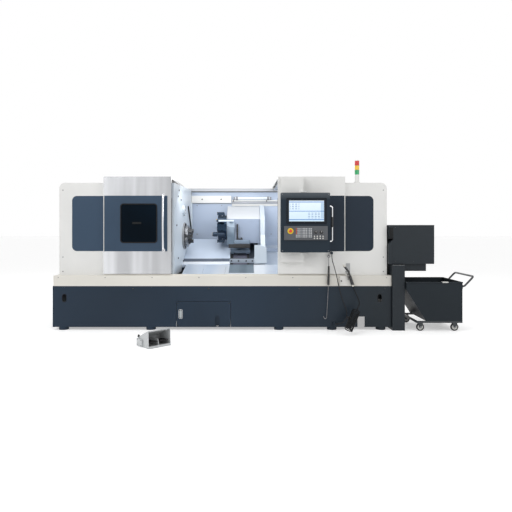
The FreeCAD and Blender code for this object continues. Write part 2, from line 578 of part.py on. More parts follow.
def turret_hood():
    """The hood over the turret's drive: upright front, top parallel to the slant, open underneath."""
    top_front, top_rear = (HOOD_FRONT, HOOD_FOLD), (HOOD_REAR, HOOD_TOP)
    t, foot = SHEET, slant(SADDLE_SPAN[1] - 20, SLIDE_TOP - 14)
    outline = [(HOOD_FRONT, HOOD_BOTTOM), top_front, top_rear, (HOOD_REAR, foot[1] + 60), foot]
    inner = [
        (HOOD_FRONT + t, HOOD_BOTTOM - t), (HOOD_FRONT + t, HOOD_FOLD - t),
        (HOOD_REAR - t, HOOD_TOP - 1.5 * t),
        (HOOD_REAR - t, foot[1] + 50), (foot[0], foot[1] - 2 * t),
    ]  # fmt: skip
    x0, x1 = HOUSING_RIGHT + GAP, 496.0
    shell = prism_x(outline, x0, x1).cut(prism_x(inner, x0 + t, x1 - t))
    lip = [top_front, top_rear, (HOOD_REAR, HOOD_TOP - 26), (HOOD_FRONT, HOOD_FOLD - 26)]
    visor = prism_x(lip, HOUSING_LEFT, x0 + 1).cut(
        prism_x(
            [(y + dy, z + dz) for (y, z), (dy, dz) in zip(lip, ((t, -t), (-t, -t), (-t, -t), (t, -t)))],
            HOUSING_LEFT - 1, x0,
        )
    )
    slide_way = slant_block(SLIDE_LEFT - 2, SLIDE_RIGHT + 2, -60, 400, SLIDE_FOOT - 10, SLIDE_TOP)
    motor_way = rod(V(x0 - 1, TURRET_Y, TURRET_Z), X_AXIS, MOTOR_RADIUS + 1, t + 2)
    return shell.fuse(visor).cut([slide_way, motor_way])


def carriage_shield():
    """A folded side shield that stands on the carriage, right of the hood, wide at its foot."""
    foot_front = slant(SADDLE_SPAN[0] + 30, SADDLE_TOP - 40)
    foot_rear = slant(SADDLE_SPAN[1] - 30, SADDLE_TOP - 40)
    top = [(HOOD_REAR + 10, HOOD_TOP - 10), (HOOD_FRONT - 20, HOOD_FOLD - 20), (HOOD_FRONT - 30, 1130)]
    wall = prism_x([foot_front, foot_rear, *top], SHIELD_LEFT, SHIELD_LEFT + 2 * SHEET)
    edge = prism_x(
        [top[2], top[1], (top[1][0] + 14, top[1][1]), (top[2][0] + 14, top[2][1])], SHIELD_LEFT,
        SHIELD_RIGHT,
    )
    base = slant_block(
        SADDLE_RIGHT - 60, SHIELD_RIGHT, SADDLE_SPAN[0] + 30, SADDLE_SPAN[0] + 200, SADDLE_TOP - 40,
        SADDLE_TOP + 10,
    )
    return wall.fuse([edge, base])


def around_turret(shape, turn):
    copy = shape.copy()
    copy.rotate(V(0, TURRET_Y, TURRET_Z), X_AXIS, turn)
    return copy


def turret_disc():
    """A twelve-sided disc with a flat and a clamping groove for each tool, on its shaft."""
    x0, x1, r = TURRET_LEFT, TURRET_LEFT + TURRET_LENGTH, TURRET_RADIUS
    half = math.pi / STATIONS
    corners = [
        (
            x0, TURRET_Y + r / math.cos(half) * math.cos(half * (2 * i + 1)),
            TURRET_Z + r / math.cos(half) * math.sin(half * (2 * i + 1)),
        )
        for i in range(STATIONS)
    ]
    disc = prism(corners, V(x1 - x0, 0, 0))
    hub = rod(V(x0 - 16, TURRET_Y, TURRET_Z), X_AXIS, 62, 25)
    shaft = rod(V(x1 - 1, TURRET_Y, TURRET_Z), X_AXIS, 40, 58)
    dish = rod(V(x0 - 1, TURRET_Y, TURRET_Z), X_AXIS, 104, 9)
    groove = box(x0 + 52, x0 + 70, TURRET_Y - 80, TURRET_Y + 80, TURRET_Z + r - 12, TURRET_Z + r + 1)
    disc = disc.cut([dish, *[around_turret(groove, 360 / STATIONS * i) for i in range(STATIONS)]])
    return disc.fuse([hub, shaft])


def turret_tools():
    """Holders on alternate flats, with their wedge screws; one holds a boring bar, the rest square tools."""
    x0, top, pieces = TURRET_LEFT, TURRET_Z + TURRET_RADIUS, []
    step = 360 / STATIONS
    for i in range(0, STATIONS, 2):
        block = box(x0 + 6, x0 + 92, TURRET_Y - 34, TURRET_Y + 34, top, top + HOLDER_HEIGHT)
        if i == 4:
            bar = rod(V(x0 - 74, TURRET_Y, top + HOLDER_HEIGHT - 8), X_AXIS, 16, 172)
            collar = rod(V(x0 - 10, TURRET_Y, top + HOLDER_HEIGHT - 8), X_AXIS, 21, 100)
            piece = block.fuse([collar, bar])
        else:
            shank = box(x0 - 16, x0 + 86, TURRET_Y - 12, TURRET_Y + 13, top + 4, top + HOLDER_HEIGHT + 16)
            screws = [rod(V(x0 + a, TURRET_Y - 24, top + HOLDER_HEIGHT - 1), Z_AXIS, 6, 7) for a in (22, 58)]
            piece = block.fuse([shank, *screws])
        pieces.append(around_turret(piece, step * i))
    return group(*pieces)


LEAF_SPAN = (-330.0, 345.0)
LEAF_MIDDLE_Y = 200.0  # the guard is widest in front of the leaf here


def way_leaf(x0, x1, layer):
    """A folded cover over the ways: a slanted sheet with its front edge turned down."""
    n = COVER_LEVEL - LEAF_STEP * layer
    t, (u0, u1) = LEAF_SHEET, LEAF_SPAN
    sheet = slant_block(x0, x1, u0, u1, n - t, n)
    lip_y, lip_z = slant(u0, n)
    inset = layer * LEAF_STEP * 0.6
    lip = prism_x(
        [(lip_y, lip_z), (lip_y + t, lip_z), (lip_y + t, lip_z - 34 + inset), (lip_y, lip_z - 34 + inset)],
        x0, x1,
    )
    return sheet.fuse(lip)


def carriage_leaf():
    """The innermost leaf, with the rib that fixes it to the carriage's left edge."""
    leaf = way_leaf(SADDLE_LEFT - LEAF_LENGTH, SADDLE_LEFT + 12, 2)
    level = COVER_LEVEL - 2 * LEAF_STEP - LEAF_SHEET
    return leaf.fuse(
        slant_block(SADDLE_LEFT, SADDLE_LEFT + 12, -280, SADDLE_SPAN[1], SADDLE_TOP - 40, level + 1)
    )


TAIL_LEFT, TAIL_RIGHT = BED_RIGHT - 400.0, BED_RIGHT - 60.0
QUILL_RADIUS, QUILL_OUT = 45.0, 70.0


def tailstock():
    """The tailstock's casting on the bed's ways, bored for its quill."""
    base = slant_block(TAIL_LEFT, TAIL_RIGHT, -250, 190, SADDLE_FOOT, -250)
    neck = prism_x(
        [slant(-190, -251), slant(150, -251), slant(84, -60), slant(-84, -60)], TAIL_LEFT + 20,
        TAIL_RIGHT - 20,
    )
    barrel = rod(V(TAIL_LEFT, SPINDLE_Y, SPINDLE_Z), X_AXIS, 96, TAIL_RIGHT - TAIL_LEFT)
    bore = rod(V(TAIL_LEFT - 1, SPINDLE_Y, SPINDLE_Z), X_AXIS, QUILL_RADIUS + SHAFT_CLEAR, 280)
    return base.fuse([neck, barrel]).cut(bore)


def tailstock_quill():
    """The quill with its 60 degree centre."""
    quill = rod(V(TAIL_LEFT - QUILL_OUT, SPINDLE_Y, SPINDLE_Z), X_AXIS, QUILL_RADIUS, QUILL_OUT + 260)
    shank = rod(V(TAIL_LEFT - QUILL_OUT - 24, SPINDLE_Y, SPINDLE_Z), X_AXIS, 26, 25)
    tip = Part.makeCone(0, 26, 45, V(TAIL_LEFT - QUILL_OUT - 69, SPINDLE_Y, SPINDLE_Z), X_AXIS)
    return quill.fuse([shank, tip])


# ---- sliding doors ---------------------------------------------------------------------------------
DOOR_BACK = DOOR_FRONT + DOOR_DEPTH
ROOF_REAR = REAR_WALL - 12
ROOF_THICK = 26.0
ROOF_REAR_TOP = BEAM_TOP + 6 + GAP + ROOF_THICK
LEFT_DOOR = (LEFT_DOOR_START, OPEN_LEFT)
RIGHT_DOOR = (OPEN_RIGHT, RIGHT_DOOR_END)
HANDLE_X, HANDLE_BOTTOM, HANDLE_TOP = -727.0, 934.0, 1656.0
HANDLE_RADIUS, HANDLE_REACH = 13.0, 62.0


def door_gland():
    """The elbow on the right door that the cable leaves downwards."""
    x, _, z = CABLE_ROUTE[0]
    return box(x - GLAND_HALF, x + GLAND_HALF, CABLE_Y - GLAND_HALF, DOOR_FRONT + 1, z, z + 30)


def sliding_door(x0, x1, band_x0, band_x1, opening=None, fitting=None):
    """A folded front with a raised band, and a sloping roof panel that reaches back to the rear rail."""
    front = tray(x0, x1, DOOR_BOTTOM, DOOR_TOP, DOOR_FRONT, DOOR_BACK)
    front = front.fuse(box(band_x0, band_x1, DOOR_FRONT - BAND_PROUD, DOOR_FRONT, BAND_BOTTOM, BAND_TOP))
    if opening:
        front = front.cut(opening)
    if fitting:
        front = front.fuse(fitting)
    outline = [
        (DOOR_BACK, DOOR_TOP), (ROOF_REAR, ROOF_REAR_TOP),
        (ROOF_REAR, ROOF_REAR_TOP - ROOF_THICK), (DOOR_BACK, DOOR_TOP - ROOF_THICK),
    ]  # fmt: skip
    t = SHEET
    hollow = [
        (DOOR_BACK + t, DOOR_TOP - t), (ROOF_REAR - t, ROOF_REAR_TOP - t),
        (ROOF_REAR - t, ROOF_REAR_TOP - ROOF_THICK - 1), (DOOR_BACK + t, DOOR_TOP - ROOF_THICK - 1),
    ]  # fmt: skip
    roof = prism_x(outline, x0, x1).cut(prism_x(hollow, x0 + t, x1 - t))
    return group(front, roof)


def window_outline(y0, y1, margin):
    x0, x1, z0, z1 = WINDOW
    return round_plate(
        x0 - margin, x1 + margin, z0 - margin, z1 + margin, y0, y1, (WINDOW_RADIUS + margin,) * 4,
    )


def door_window():
    """The glass and its rubber frame, one moulded unit that fills the door's cut-out."""
    frame = window_outline(DOOR_FRONT - 5, DOOR_FRONT + 12, WINDOW_LIP)
    recess = window_outline(DOOR_FRONT - 6, DOOR_FRONT + 1, -13)
    return frame.cut(recess)


def door_handle():
    """A long round bar, bowed off the door, on two feet."""
    y0, y1 = DOOR_FRONT - BAND_PROUD, DOOR_FRONT - HANDLE_REACH
    middle = (HANDLE_BOTTOM + HANDLE_TOP) / 2
    z0, z1 = HANDLE_BOTTOM + 20, HANDLE_TOP - 20
    bow = [(y0, z0), (y1 + 14, z0), (y1 - 8, middle), (y1 + 14, z1), (y0, z1)]
    bar, _ = tube([(HANDLE_X, y, z) for y, z in bow], HANDLE_RADIUS, (34.0, 2600.0, 34.0))
    feet = [rod(V(HANDLE_X, y0, z), V(0, -1, 0), HANDLE_RADIUS + 7, 8) for z in (z0, z1)]
    return bar.fuse(feet)


# ---- operator panel --------------------------------------------------------------------------------
COLUMN_LEFT, COLUMN_RIGHT, COLUMN_BOTTOM, COLUMN_TOP = 727.0, 1003.0, 811.0, 1854.0
COLUMN_FRONT = DOOR_FRONT - 80.0
PANEL_LEFT, PANEL_RIGHT, PANEL_BOTTOM, PANEL_TOP = 715.0, 1304.0, 935.0, 1652.0
PANEL_BACK, PANEL_DEPTH = COLUMN_FRONT - 60.0, 84.0
PANEL_FRONT = PANEL_BACK - PANEL_DEPTH
PIVOT_X, PIVOT_RADIUS = 1018.0, 14.0
PIVOT_Y = PANEL_BACK - 22
ARM_THICK, ARM_GAP, PIN_DEPTH = 14.0, 6.0, 20.0
SCREEN = (808.0, 1236.0, 1304.0, 1560.0)
BEZEL_MARGIN, BEZEL_PROUD = 28.0, 5.0
PLATE = (753.0, 1274.0, 1084.0, 1252.0)
PLATE_PROUD = 16.0
STOP_X, STOP_Z, STOP_RADIUS = 828.0, 1192.0, 20.0
KNOB_X, KNOB_Z, KNOB_RADIUS = (1131.0, 1197.0), 1176.0, 19.0
KEY_COLUMNS, KEY_ROWS, KEY_SIZE, KEY_PITCH = 10, 6, 13.5, 19.5
KEY_LEFT, KEY_TOP = 893.0, 1226.0


def panel_column():
    """The pale column on the right door, with two arms that hold the panel's pivot pins."""
    column = round_plate(
        COLUMN_LEFT, COLUMN_RIGHT, COLUMN_BOTTOM, COLUMN_TOP, COLUMN_FRONT, DOOR_FRONT - BAND_PROUD,
    )
    shell = column.cut(
        box(
            COLUMN_LEFT + SHEET, COLUMN_RIGHT - SHEET, COLUMN_FRONT + SHEET, DOOR_FRONT,
            COLUMN_BOTTOM + SHEET, COLUMN_TOP - SHEET,
        )
    )
    pieces = [shell]
    t = ARM_THICK
    for z, pin_foot in (
        (PANEL_TOP + ARM_GAP, PANEL_TOP - PIN_DEPTH),
        (PANEL_BOTTOM - ARM_GAP - t, PANEL_BOTTOM - ARM_GAP - t),
    ):
        arm = box(PIVOT_X - 60, PIVOT_X - 15, PIVOT_Y - 8, COLUMN_FRONT + 1, z, z + t)
        knuckle = rod(V(PIVOT_X, PIVOT_Y, z), Z_AXIS, 22, t)
        link = box(PIVOT_X - 60, PIVOT_X, PIVOT_Y - 20, PIVOT_Y + 20, z, z + t)
        pin = rod(V(PIVOT_X, PIVOT_Y, pin_foot), Z_AXIS, PIVOT_RADIUS, PIN_DEPTH + ARM_GAP + t)
        pieces += [arm, knuckle, link, pin]
    return pieces[0].fuse(pieces[1:]).removeSplitter()


def panel_housing():
    """The operator panel's box with rounded corners and a raised bezel round the screen."""
    box_body = round_plate(
        PANEL_LEFT, PANEL_RIGHT, PANEL_BOTTOM, PANEL_TOP, PANEL_FRONT, PANEL_BACK, (10,) * 4,
    )
    x0, x1, z0, z1 = SCREEN
    m = BEZEL_MARGIN
    bezel = round_plate(x0 - m, x1 + m, z0 - m, z1 + m, PANEL_FRONT - BEZEL_PROUD, PANEL_FRONT + 1, (9,) * 4)
    seat = round_plate(x0, x1, z0, z1, PANEL_FRONT - BEZEL_PROUD - 1, PANEL_FRONT - 1, (3,) * 4)
    hinge_gap = [
        rod(V(PIVOT_X, PIVOT_Y, z), Z_AXIS, PIVOT_RADIUS + SHAFT_CLEAR, PIN_DEPTH + 5)
        for z in (PANEL_TOP - PIN_DEPTH - 4, PANEL_BOTTOM - 1)
    ]
    return box_body.fuse(bezel).cut([seat, *hinge_gap])


def panel_screen():
    x0, x1, z0, z1 = SCREEN
    return round_plate(x0, x1, z0, z1, PANEL_FRONT - 3.5, PANEL_FRONT - 1, (3,) * 4)


def control_plate():
    """The proud control plate, with its keys, the stop's collar and the marks' rings round the knobs."""
    x0, x1, z0, z1 = PLATE
    face = PANEL_FRONT - PLATE_PROUD
    plate = round_plate(x0, x1, z0, z1, face, PANEL_FRONT, (6,) * 4)
    collar = rod(V(STOP_X, face, STOP_Z), V(0, -1, 0), STOP_RADIUS + 15, 3)
    plate = plate.fuse(
        [collar, *[rod(V(x, face, KNOB_Z), V(0, -1, 0), KNOB_RADIUS + 5, 1.5) for x in KNOB_X]]
    )
    bores = [rod(V(x, face - 4, KNOB_Z), Y_AXIS, 4 + SHAFT_CLEAR, 16) for x in KNOB_X]
    bores.append(rod(V(STOP_X, face - 4, STOP_Z), Y_AXIS, 8 + SHAFT_CLEAR, 18))
    return plate.cut(bores).fuse(key_field())


def key_field():
    """The sealed key field: rows of keys moulded on one mat."""
    face = PANEL_FRONT - PLATE_PROUD
    width, height = KEY_COLUMNS * KEY_PITCH, KEY_ROWS * KEY_PITCH
    mat = box(KEY_LEFT - 4, KEY_LEFT + width, face - 1, face, KEY_TOP - height, KEY_TOP + 4)
    keys = [
        box(x, x + KEY_SIZE, face - 3.5, face - 0.9, z - KEY_SIZE, z)
        for x in (KEY_LEFT + KEY_PITCH * i + (2 if i > 1 else 0) for i in range(KEY_COLUMNS))
        for z in (KEY_TOP - KEY_PITCH * j for j in range(KEY_ROWS))
    ]
    return mat.fuse(keys)


def stop_button():
    """The mushroom head of the emergency stop on its stem."""
    face = PANEL_FRONT - PLATE_PROUD - 3
    profile = [
        (0, 12), (8, 12), (8, -9), (STOP_RADIUS - 3, -9), (STOP_RADIUS, -13), (STOP_RADIUS - 1, -20),
        (STOP_RADIUS - 7, -24), (0, -25),
    ]
    points = [V(STOP_X + x, face + y, STOP_Z) for x, y in profile]
    return Part.Face(Part.makePolygon(points + points[:1])).revolve(points[0], Y_AXIS, 360)


def override_knob(x):
    """A fluted knob with a flat pointer on its face."""
    face = PANEL_FRONT - PLATE_PROUD - 1.5
    knob = rod(V(x, face - 0.5, KNOB_Z), V(0, -1, 0), KNOB_RADIUS, 16)
    stem = rod(V(x, face + 10, KNOB_Z), V(0, -1, 0), 4, 11)
    flutes = []
    for i in range(12):
        a = math.radians(30 * i + 15)
        flutes.append(
            rod(
                V(
                    x + math.cos(a) * (KNOB_RADIUS + 1.5), face - 6,
                    KNOB_Z + math.sin(a) * (KNOB_RADIUS + 1.5),
                ),
                V(0, -1, 0), 3.5, 12,
            )
        )
    pointer = box(x - 1.8, x + 1.8, face - 18.5, face - 16, KNOB_Z + 2, KNOB_Z + KNOB_RADIUS - 2)
    return knob.cut(flutes).fuse([stem, pointer])


def panel_handle():
    """A bright D-handle on the panel's right edge."""
    y, reach = (PANEL_FRONT + PANEL_BACK) / 2, 34.0
    z0, z1, x0, x1 = 1068.0, 1490.0, PANEL_RIGHT, PANEL_RIGHT + reach
    route = [(x0, y, z0), (x1, y, z0), (x1 + 1, y, (z0 + z1) / 2), (x1, y, z1), (x0, y, z1)]
    bar, _ = tube(route, 9.0, (22.0, 4000.0, 22.0))
    return bar


# ---- signal tower, coolant tank, hook, gun and cable -----------------------------------------------
TOWER_X, TOWER_Y, TOWER_RADIUS, LENS_HEIGHT = 1704.0, COVER_FRONT + 62.0, 29.0, 58.0
TOWER_POST = 108.0
LENSES = 3


def tower_post():
    """The foot, post and cap of the signal tower."""
    z = COVER_TOP
    foot = rod(V(TOWER_X, TOWER_Y, z), Z_AXIS, 44, 8)
    post = rod(V(TOWER_X, TOWER_Y, z + 7), Z_AXIS, TOWER_RADIUS - 1, TOWER_POST - 7)
    cap = rod(V(TOWER_X, TOWER_Y, z + TOWER_POST + LENSES * LENS_HEIGHT), Z_AXIS, TOWER_RADIUS - 2, 7)
    return group(foot.fuse(post), cap)


def tower_lenses():
    """Three stacked lenses."""
    z = COVER_TOP + TOWER_POST
    return group(
        *[
            rod(V(TOWER_X, TOWER_Y, z + i * LENS_HEIGHT), Z_AXIS, TOWER_RADIUS, LENS_HEIGHT)
            for i in range(LENSES)
        ]
    )


def coolant_tank():
    """The pull-out tank: an open tray behind its front, which has a hand slot and a gauge window."""
    x0, x1, z0 = TANK_LEFT, TANK_RIGHT, TANK_LIFT
    front = tray(x0, x1, 0, TANK_TOP, FRONT, FRONT + PANEL_FOLD)
    front = front.cut(slot_hole(DRAIN_SLOT_X, DRAIN_SLOT_Z, 52, 132, FRONT - 1, FRONT + 10))
    front = front.cut(slot_hole(GAUGE_X, GAUGE_Z, 30, 96, FRONT - 1, FRONT + 10))
    y0, y1 = FRONT + PANEL_FOLD, FRONT + PANEL_FOLD + TANK_DEPTH
    tub = box(x0, x1, y0, y1, z0, TANK_TOP - 16)
    tub = tub.cut(box(x0 + SHEET, x1 - SHEET, y0 + SHEET, y1 - SHEET, z0 + SHEET, TANK_TOP))
    gauge = slot_hole(GAUGE_X, GAUGE_Z, 40, 106, FRONT + SHEET, FRONT + SHEET + 6)
    return group(front, tub, gauge)


HOOK_X, HOOK_TOP, HOOK_Y = 1319.0, 884.0, FRONT - 27.0
HOOK_FOOT = (1293.0, 124.0)
HOOK_PEG, EYE_INNER, HOOK_WIRE = 5.0, 11.0, 4.0


def chip_hook():
    """A hand hook for clearing chips, hung by its eye from a peg under the panel."""
    x, z, y = HOOK_X, HOOK_TOP, HOOK_Y
    peg = rod(V(x, DOOR_FRONT, z), V(0, -1, 0), HOOK_PEG, DOOR_FRONT - y + 14)
    stop = rod(V(x, y - 14, z), V(0, -1, 0), 9, 5)
    eye_z = z + HOOK_PEG - EYE_INNER
    eye = rod(V(x, y - 4, eye_z), Y_AXIS, EYE_INNER + 7, 8)
    hole = rod(V(x, y - 5, eye_z), Y_AXIS, EYE_INNER, 10)
    foot_x, foot_z = HOOK_FOOT
    shaft, _ = tube(
        [
            (x, y, eye_z - EYE_INNER - 2), (x - 4, y, z - 350), (foot_x, y, foot_z),
            (foot_x - 22, y, foot_z - 26), (foot_x - 40, y, foot_z + 14),
        ],
        HOOK_WIRE, (900.0, 14.0, 12.0),
    )  # fmt: skip
    grip = Part.makeCone(15, 12, 232, V(x - 5, y, z - 358), V(5, 0, 232))
    return group(peg.fuse(stop), eye.fuse([shaft, grip]).cut(hole))


GUN_Y = FRONT - 50.0
GUN_NOZZLE, GUN_BEND, GUN_TAIL = (1503.0, 758.0), (1560.0, 690.0), (1611.0, 520.0)
HOSE_RADIUS, COIL_RADIUS = 6.0, 54.0
COIL_TOP, COIL_FOOT = (1650.0, FRONT - 120.0, 250.0), (1502.0, FRONT - 300.0, 44.0)
LEVER_PIN, LEVER_PIN_RADIUS, LEVER_HALF = (26.0, 21.0), 2.2, 6.0
GUN_PORT = (1560.0, 120.0)  # x and z where the hose leaves the base


def gun_place(along, out, y=GUN_Y):
    """A place beside the gun's grip: along it from the bend, and out on the lever's side."""
    (bx, bz), (tx, tz) = GUN_BEND, GUN_TAIL
    lean = V(tx - bx, 0, tz - bz).normalize()
    return V(bx, y, bz) + lean * along + V(lean.z, 0, -lean.x) * out


def gun_body():
    """The wash-down gun: a nozzle, a bent body, a grip with an end ring and two ears for the lever's pin."""
    (nx, nz), (bx, bz), (tx, tz) = GUN_NOZZLE, GUN_BEND, GUN_TAIL
    body, _ = tube([(nx, GUN_Y, nz), (bx, GUN_Y, bz), (tx, GUN_Y, tz)], 12, (30.0,))
    lean = V(tx - bx, 0, tz - bz).normalize()
    grip = Part.makeCone(17, 20, 120, V(tx, GUN_Y, tz) - lean * 122, lean)
    ring = rod(V(tx, GUN_Y, tz) - lean * 2, lean, 14, 12)
    aim = V(nx - bx, 0, nz - bz).normalize()
    tip = Part.makeCone(10, 6, 26, V(nx, GUN_Y, nz) - aim, aim)
    ears = []
    for y in (GUN_Y - LEVER_HALF - 4, GUN_Y + LEVER_HALF + 1):
        corners = [gun_place(u, w, y) for u, w in ((19, 5), (19, 26), (33, 26), (33, 5))]
        ears.append(prism(corners, V(0, 3, 0)))
    pin = rod(gun_place(*LEVER_PIN, GUN_Y - LEVER_HALF - 3), Y_AXIS, LEVER_PIN_RADIUS, 2 * LEVER_HALF + 6)
    return body.fuse([grip, ring, tip, *ears, pin])


def gun_trigger():
    """The gun's squeeze lever, hung on its pin between the ears."""
    outline = [(20, 17), (20, 25), (82, 34), (92, 40), (95, 35), (84, 28), (32, 17)]
    lever = prism([gun_place(u, w, GUN_Y - LEVER_HALF) for u, w in outline], V(0, 2 * LEVER_HALF, 0))
    return lever.cut(rod(gun_place(*LEVER_PIN, GUN_Y - 20), Y_AXIS, LEVER_PIN_RADIUS + SHAFT_CLEAR, 40))


def gun_bracket():
    """The gun's plate and prongs on the cover, and the pale valve box under it on the apron."""
    plate = box(1556, 1602, COVER_FRONT - 5, COVER_FRONT, 660, 784)
    aim = V(GUN_BEND[0] - GUN_NOZZLE[0], 0, GUN_BEND[1] - GUN_NOZZLE[1]).normalize()
    side = V(aim.z, 0, -aim.x)
    place = V(GUN_BEND[0], 0, GUN_BEND[1]) - aim * 3 + side * 17.5
    prong = rod(V(place.x, GUN_Y - 18, place.z), Y_AXIS, 5, COVER_FRONT - GUN_Y + 13)
    tab = box(place.x - 8, 1560, COVER_FRONT - 5, COVER_FRONT, place.z - 9, place.z + 9)
    valve = round_plate(1455, 1606, 514, 634, FRONT - 26, FRONT, (8, 8, 8, 8))
    tap = rod(V(1463 + 10, FRONT - 26, 574), V(0, -1, 0), 9, 12)
    port = rod(V(GUN_PORT[0], FRONT, GUN_PORT[1]), V(0, -1, 0), 14, 16)
    return group(plate.fuse([prong, tab]), valve.fuse(tap), port)


def coil_axis():
    top, foot = V(*COIL_TOP), V(*COIL_FOOT)
    return top, foot, (foot - top).normalize()


def gun_hose():
    """The plain ends of the hose: from the port to the coil's foot, and from the coil's top to the gun."""
    top, foot, along = coil_axis()
    x, z = GUN_PORT
    lower = [
        (x, FRONT - 16, z), (x, FRONT - 80, z), (x - 6, FRONT - 150, z - 34),
        (x - 22, FRONT - 205, z - 96), tuple(foot),
    ]  # fmt: skip
    lean = V(GUN_TAIL[0] - GUN_BEND[0], 0, GUN_TAIL[1] - GUN_BEND[1]).normalize()
    gun_end = V(GUN_TAIL[0], GUN_Y, GUN_TAIL[1]) + lean * 10
    upper = [
        tuple(gun_end), tuple(gun_end + lean * 60), (1660.0, GUN_Y - 8, 398.0),
        (1684.0, GUN_Y - 36, 326.0), (1676.0, GUN_Y - 62, 284.0), tuple(top),
    ]  # fmt: skip
    shapes = []
    for route in (lower, upper):
        solid, radii = tube(route, HOSE_RADIUS)
        print("hose radii", [round(r) for r in radii])
        shapes.append(solid)
    coil = gun_coil()
    return group(*[s.cut(coil) for s in shapes])


def gun_coil():
    """The outer shape of the hose's spring-like coil, which leans down to the floor."""
    top, foot, along = coil_axis()
    lift = V(0, 0, COIL_RADIUS + FLOOR - foot.z + 4)
    return rod(top, foot + lift - top, COIL_RADIUS, (foot + lift - top).Length)


CABLE_RADIUS, GLAND_HALF = 5.0, 12.0
CABLE_Y = FRONT - 42.0
CABLE_ROUTE = [
    (1354, CABLE_Y, 905), (1354, CABLE_Y, 845), (1382, CABLE_Y - 2, 752), (1412, CABLE_Y - 6, 640),
    (1437, CABLE_Y - 9, 520), (1462, CABLE_Y - 10, 410), (1500, CABLE_Y - 8, 300), (1540, CABLE_Y - 5, 205),
    (1534, CABLE_Y - 2, 112), (1478, CABLE_Y, 46), (1392, CABLE_Y, 46),
]  # fmt: skip


def panel_cable():
    """The cable from a gland on the right door down to one in the base."""
    solid, radii = tube(CABLE_ROUTE, CABLE_RADIUS)
    print("cable radii", [round(r) for r in radii])
    return solid


# ---- foot switch -----------------------------------------------------------------------------------
SWITCH_X, SWITCH_Y, SWITCH_YAW = -690.0, FRONT - 782.0, 42.0
SWITCH_WIDTH, SWITCH_DEPTH, SWITCH_HEIGHT = 274.0, 224.0, 182.0
HOOD_WALL = 5.0
PEDAL_GAP = 9.0


def on_floor(shape):
    """Turns and moves a foot switch piece from its own frame to its place on the floor."""
    shape.rotate(V(0, 0, 0), Z_AXIS, SWITCH_YAW)
    shape.translate(V(SWITCH_X, SWITCH_Y, FLOOR))
    return shape


def foot_switch_body():
    """A cast guard open at the front, on a base plate with a front bar, a divider and a cable gland."""
    w, d, h, t = SWITCH_WIDTH / 2, SWITCH_DEPTH / 2, SWITCH_HEIGHT, HOOD_WALL
    outline = [(-d + 4, 8), (-d + 12, h), (-d + 36, h), (d, 92), (d, 8)]
    inner = [(-d - 9, 13), (-d - 1, h - t), (-d + 34, h - t), (d - t, 90 - t), (d - t, 13)]
    hood = prism_x(outline, -w, w).cut(prism_x(inner, -w + t, w - t))
    plate = box(-w, w, -d, d, 0, 13)
    bar = rod(V(-w + 4, -d + 9, 17), X_AXIS, 8, SWITCH_WIDTH - 8)
    divider = prism_x([(-d + 18, 12), (-d + 40, 84), (d - t, 84), (d - t, 12)], -3, 3)
    side_box = box(-w - 16, -w + 1, 6, d, 6, 84)
    gland = rod(V(-w - 2, d - 22, 83), Z_AXIS, 11, 20)
    pins = rod(V(-w + t, d - 34, 34), X_AXIS, 4, SWITCH_WIDTH - 2 * t)
    return on_floor(hood.fuse([plate, bar, divider, side_box, gland, pins]))


def foot_pedal(side):
    """A ribbed treadle that rocks on a pin at the back of the switch."""
    w, d = SWITCH_WIDTH / 2, SWITCH_DEPTH / 2
    x0, x1 = (3 + PEDAL_GAP, w - HOOD_WALL - PEDAL_GAP) if side > 0 else (
        -w + HOOD_WALL + PEDAL_GAP, -3 - PEDAL_GAP,
    )
    tread = prism_x([(-d + 30, 58), (-d + 30, 66), (d - 34, 50), (d - 34, 42)], x0, x1)
    ribs = []
    for y in range(int(-d + 40), int(d - 70), 16):
        top = 68 - (y + d - 30) * 0.1
        ribs.append(box(x0 + 6, x1 - 6, y, y + 5, top - 5, top))
    bore = rod(V(x0 - 1, d - 34, 34), X_AXIS, 4 + SHAFT_CLEAR, x1 - x0 + 2)
    ear = rod(V(x0, d - 34, 34), X_AXIS, 13, x1 - x0)
    return on_floor(tread.fuse([*ribs, ear]).cut(bore))


# ---- chip conveyor and cart ------------------------------------------------------------------------
TROUGH = (-560.0, FRONT + 90.0, FRONT + 520.0, 335.0, 480.0)  # left, front, back, bottom, top
COLUMN_X0, COLUMN_X1 = RIGHT_END + 4, RIGHT_END + 156
COLUMN_Y0, COLUMN_Y1, COLUMN_TOP_Z = FRONT - 35, FRONT + 550.0, 772.0
HEAD = (RIGHT_END - 29.0, RIGHT_END + 537.0, 781.0, 1265.0)  # left, right, bottom, top
HEAD_Y0, HEAD_Y1 = FRONT + 15.0, COLUMN_Y1
OUTLET = (RIGHT_END + 160.0, RIGHT_END + 448.0, 690.0)  # left, right, bottom
CASING = 4.0


def conveyor_passage():
    _, y0, y1, z0, z1 = TROUGH
    return box(RIGHT_END - 20, RIGHT_END + 20, y0 - GAP, y1 + GAP, z0 - GAP, z1 + GAP)


def conveyor_body():
    """The trough under the chutes and the upright casing it ends in, welded together."""
    x0, y0, y1, z0, z1 = TROUGH
    t = CASING
    trough = [
        box(x0, COLUMN_X0, y0, y1, z0, z0 + t),
        box(x0, COLUMN_X0, y0, y0 + t, z0 + t, z1),
        box(x0, COLUMN_X0, y1 - t, y1, z0 + t, z1),
        box(x0, x0 + t, y0 + t, y1 - t, z0 + t, z1),
    ]
    column = box(COLUMN_X0, COLUMN_X1, COLUMN_Y0, COLUMN_Y1, FLOOR, COLUMN_TOP_Z)
    column = column.cut(
        box(COLUMN_X0 + t, COLUMN_X1 - t, COLUMN_Y0 + t, COLUMN_Y1 - t, FLOOR - 1, COLUMN_TOP_Z - t)
    )
    neck = box(COLUMN_X0 - 20, COLUMN_X1 - 30, HEAD_Y0 + 20, HEAD_Y1 - 20, COLUMN_TOP_Z, HEAD[2])
    return group(*trough, column.fuse(neck))


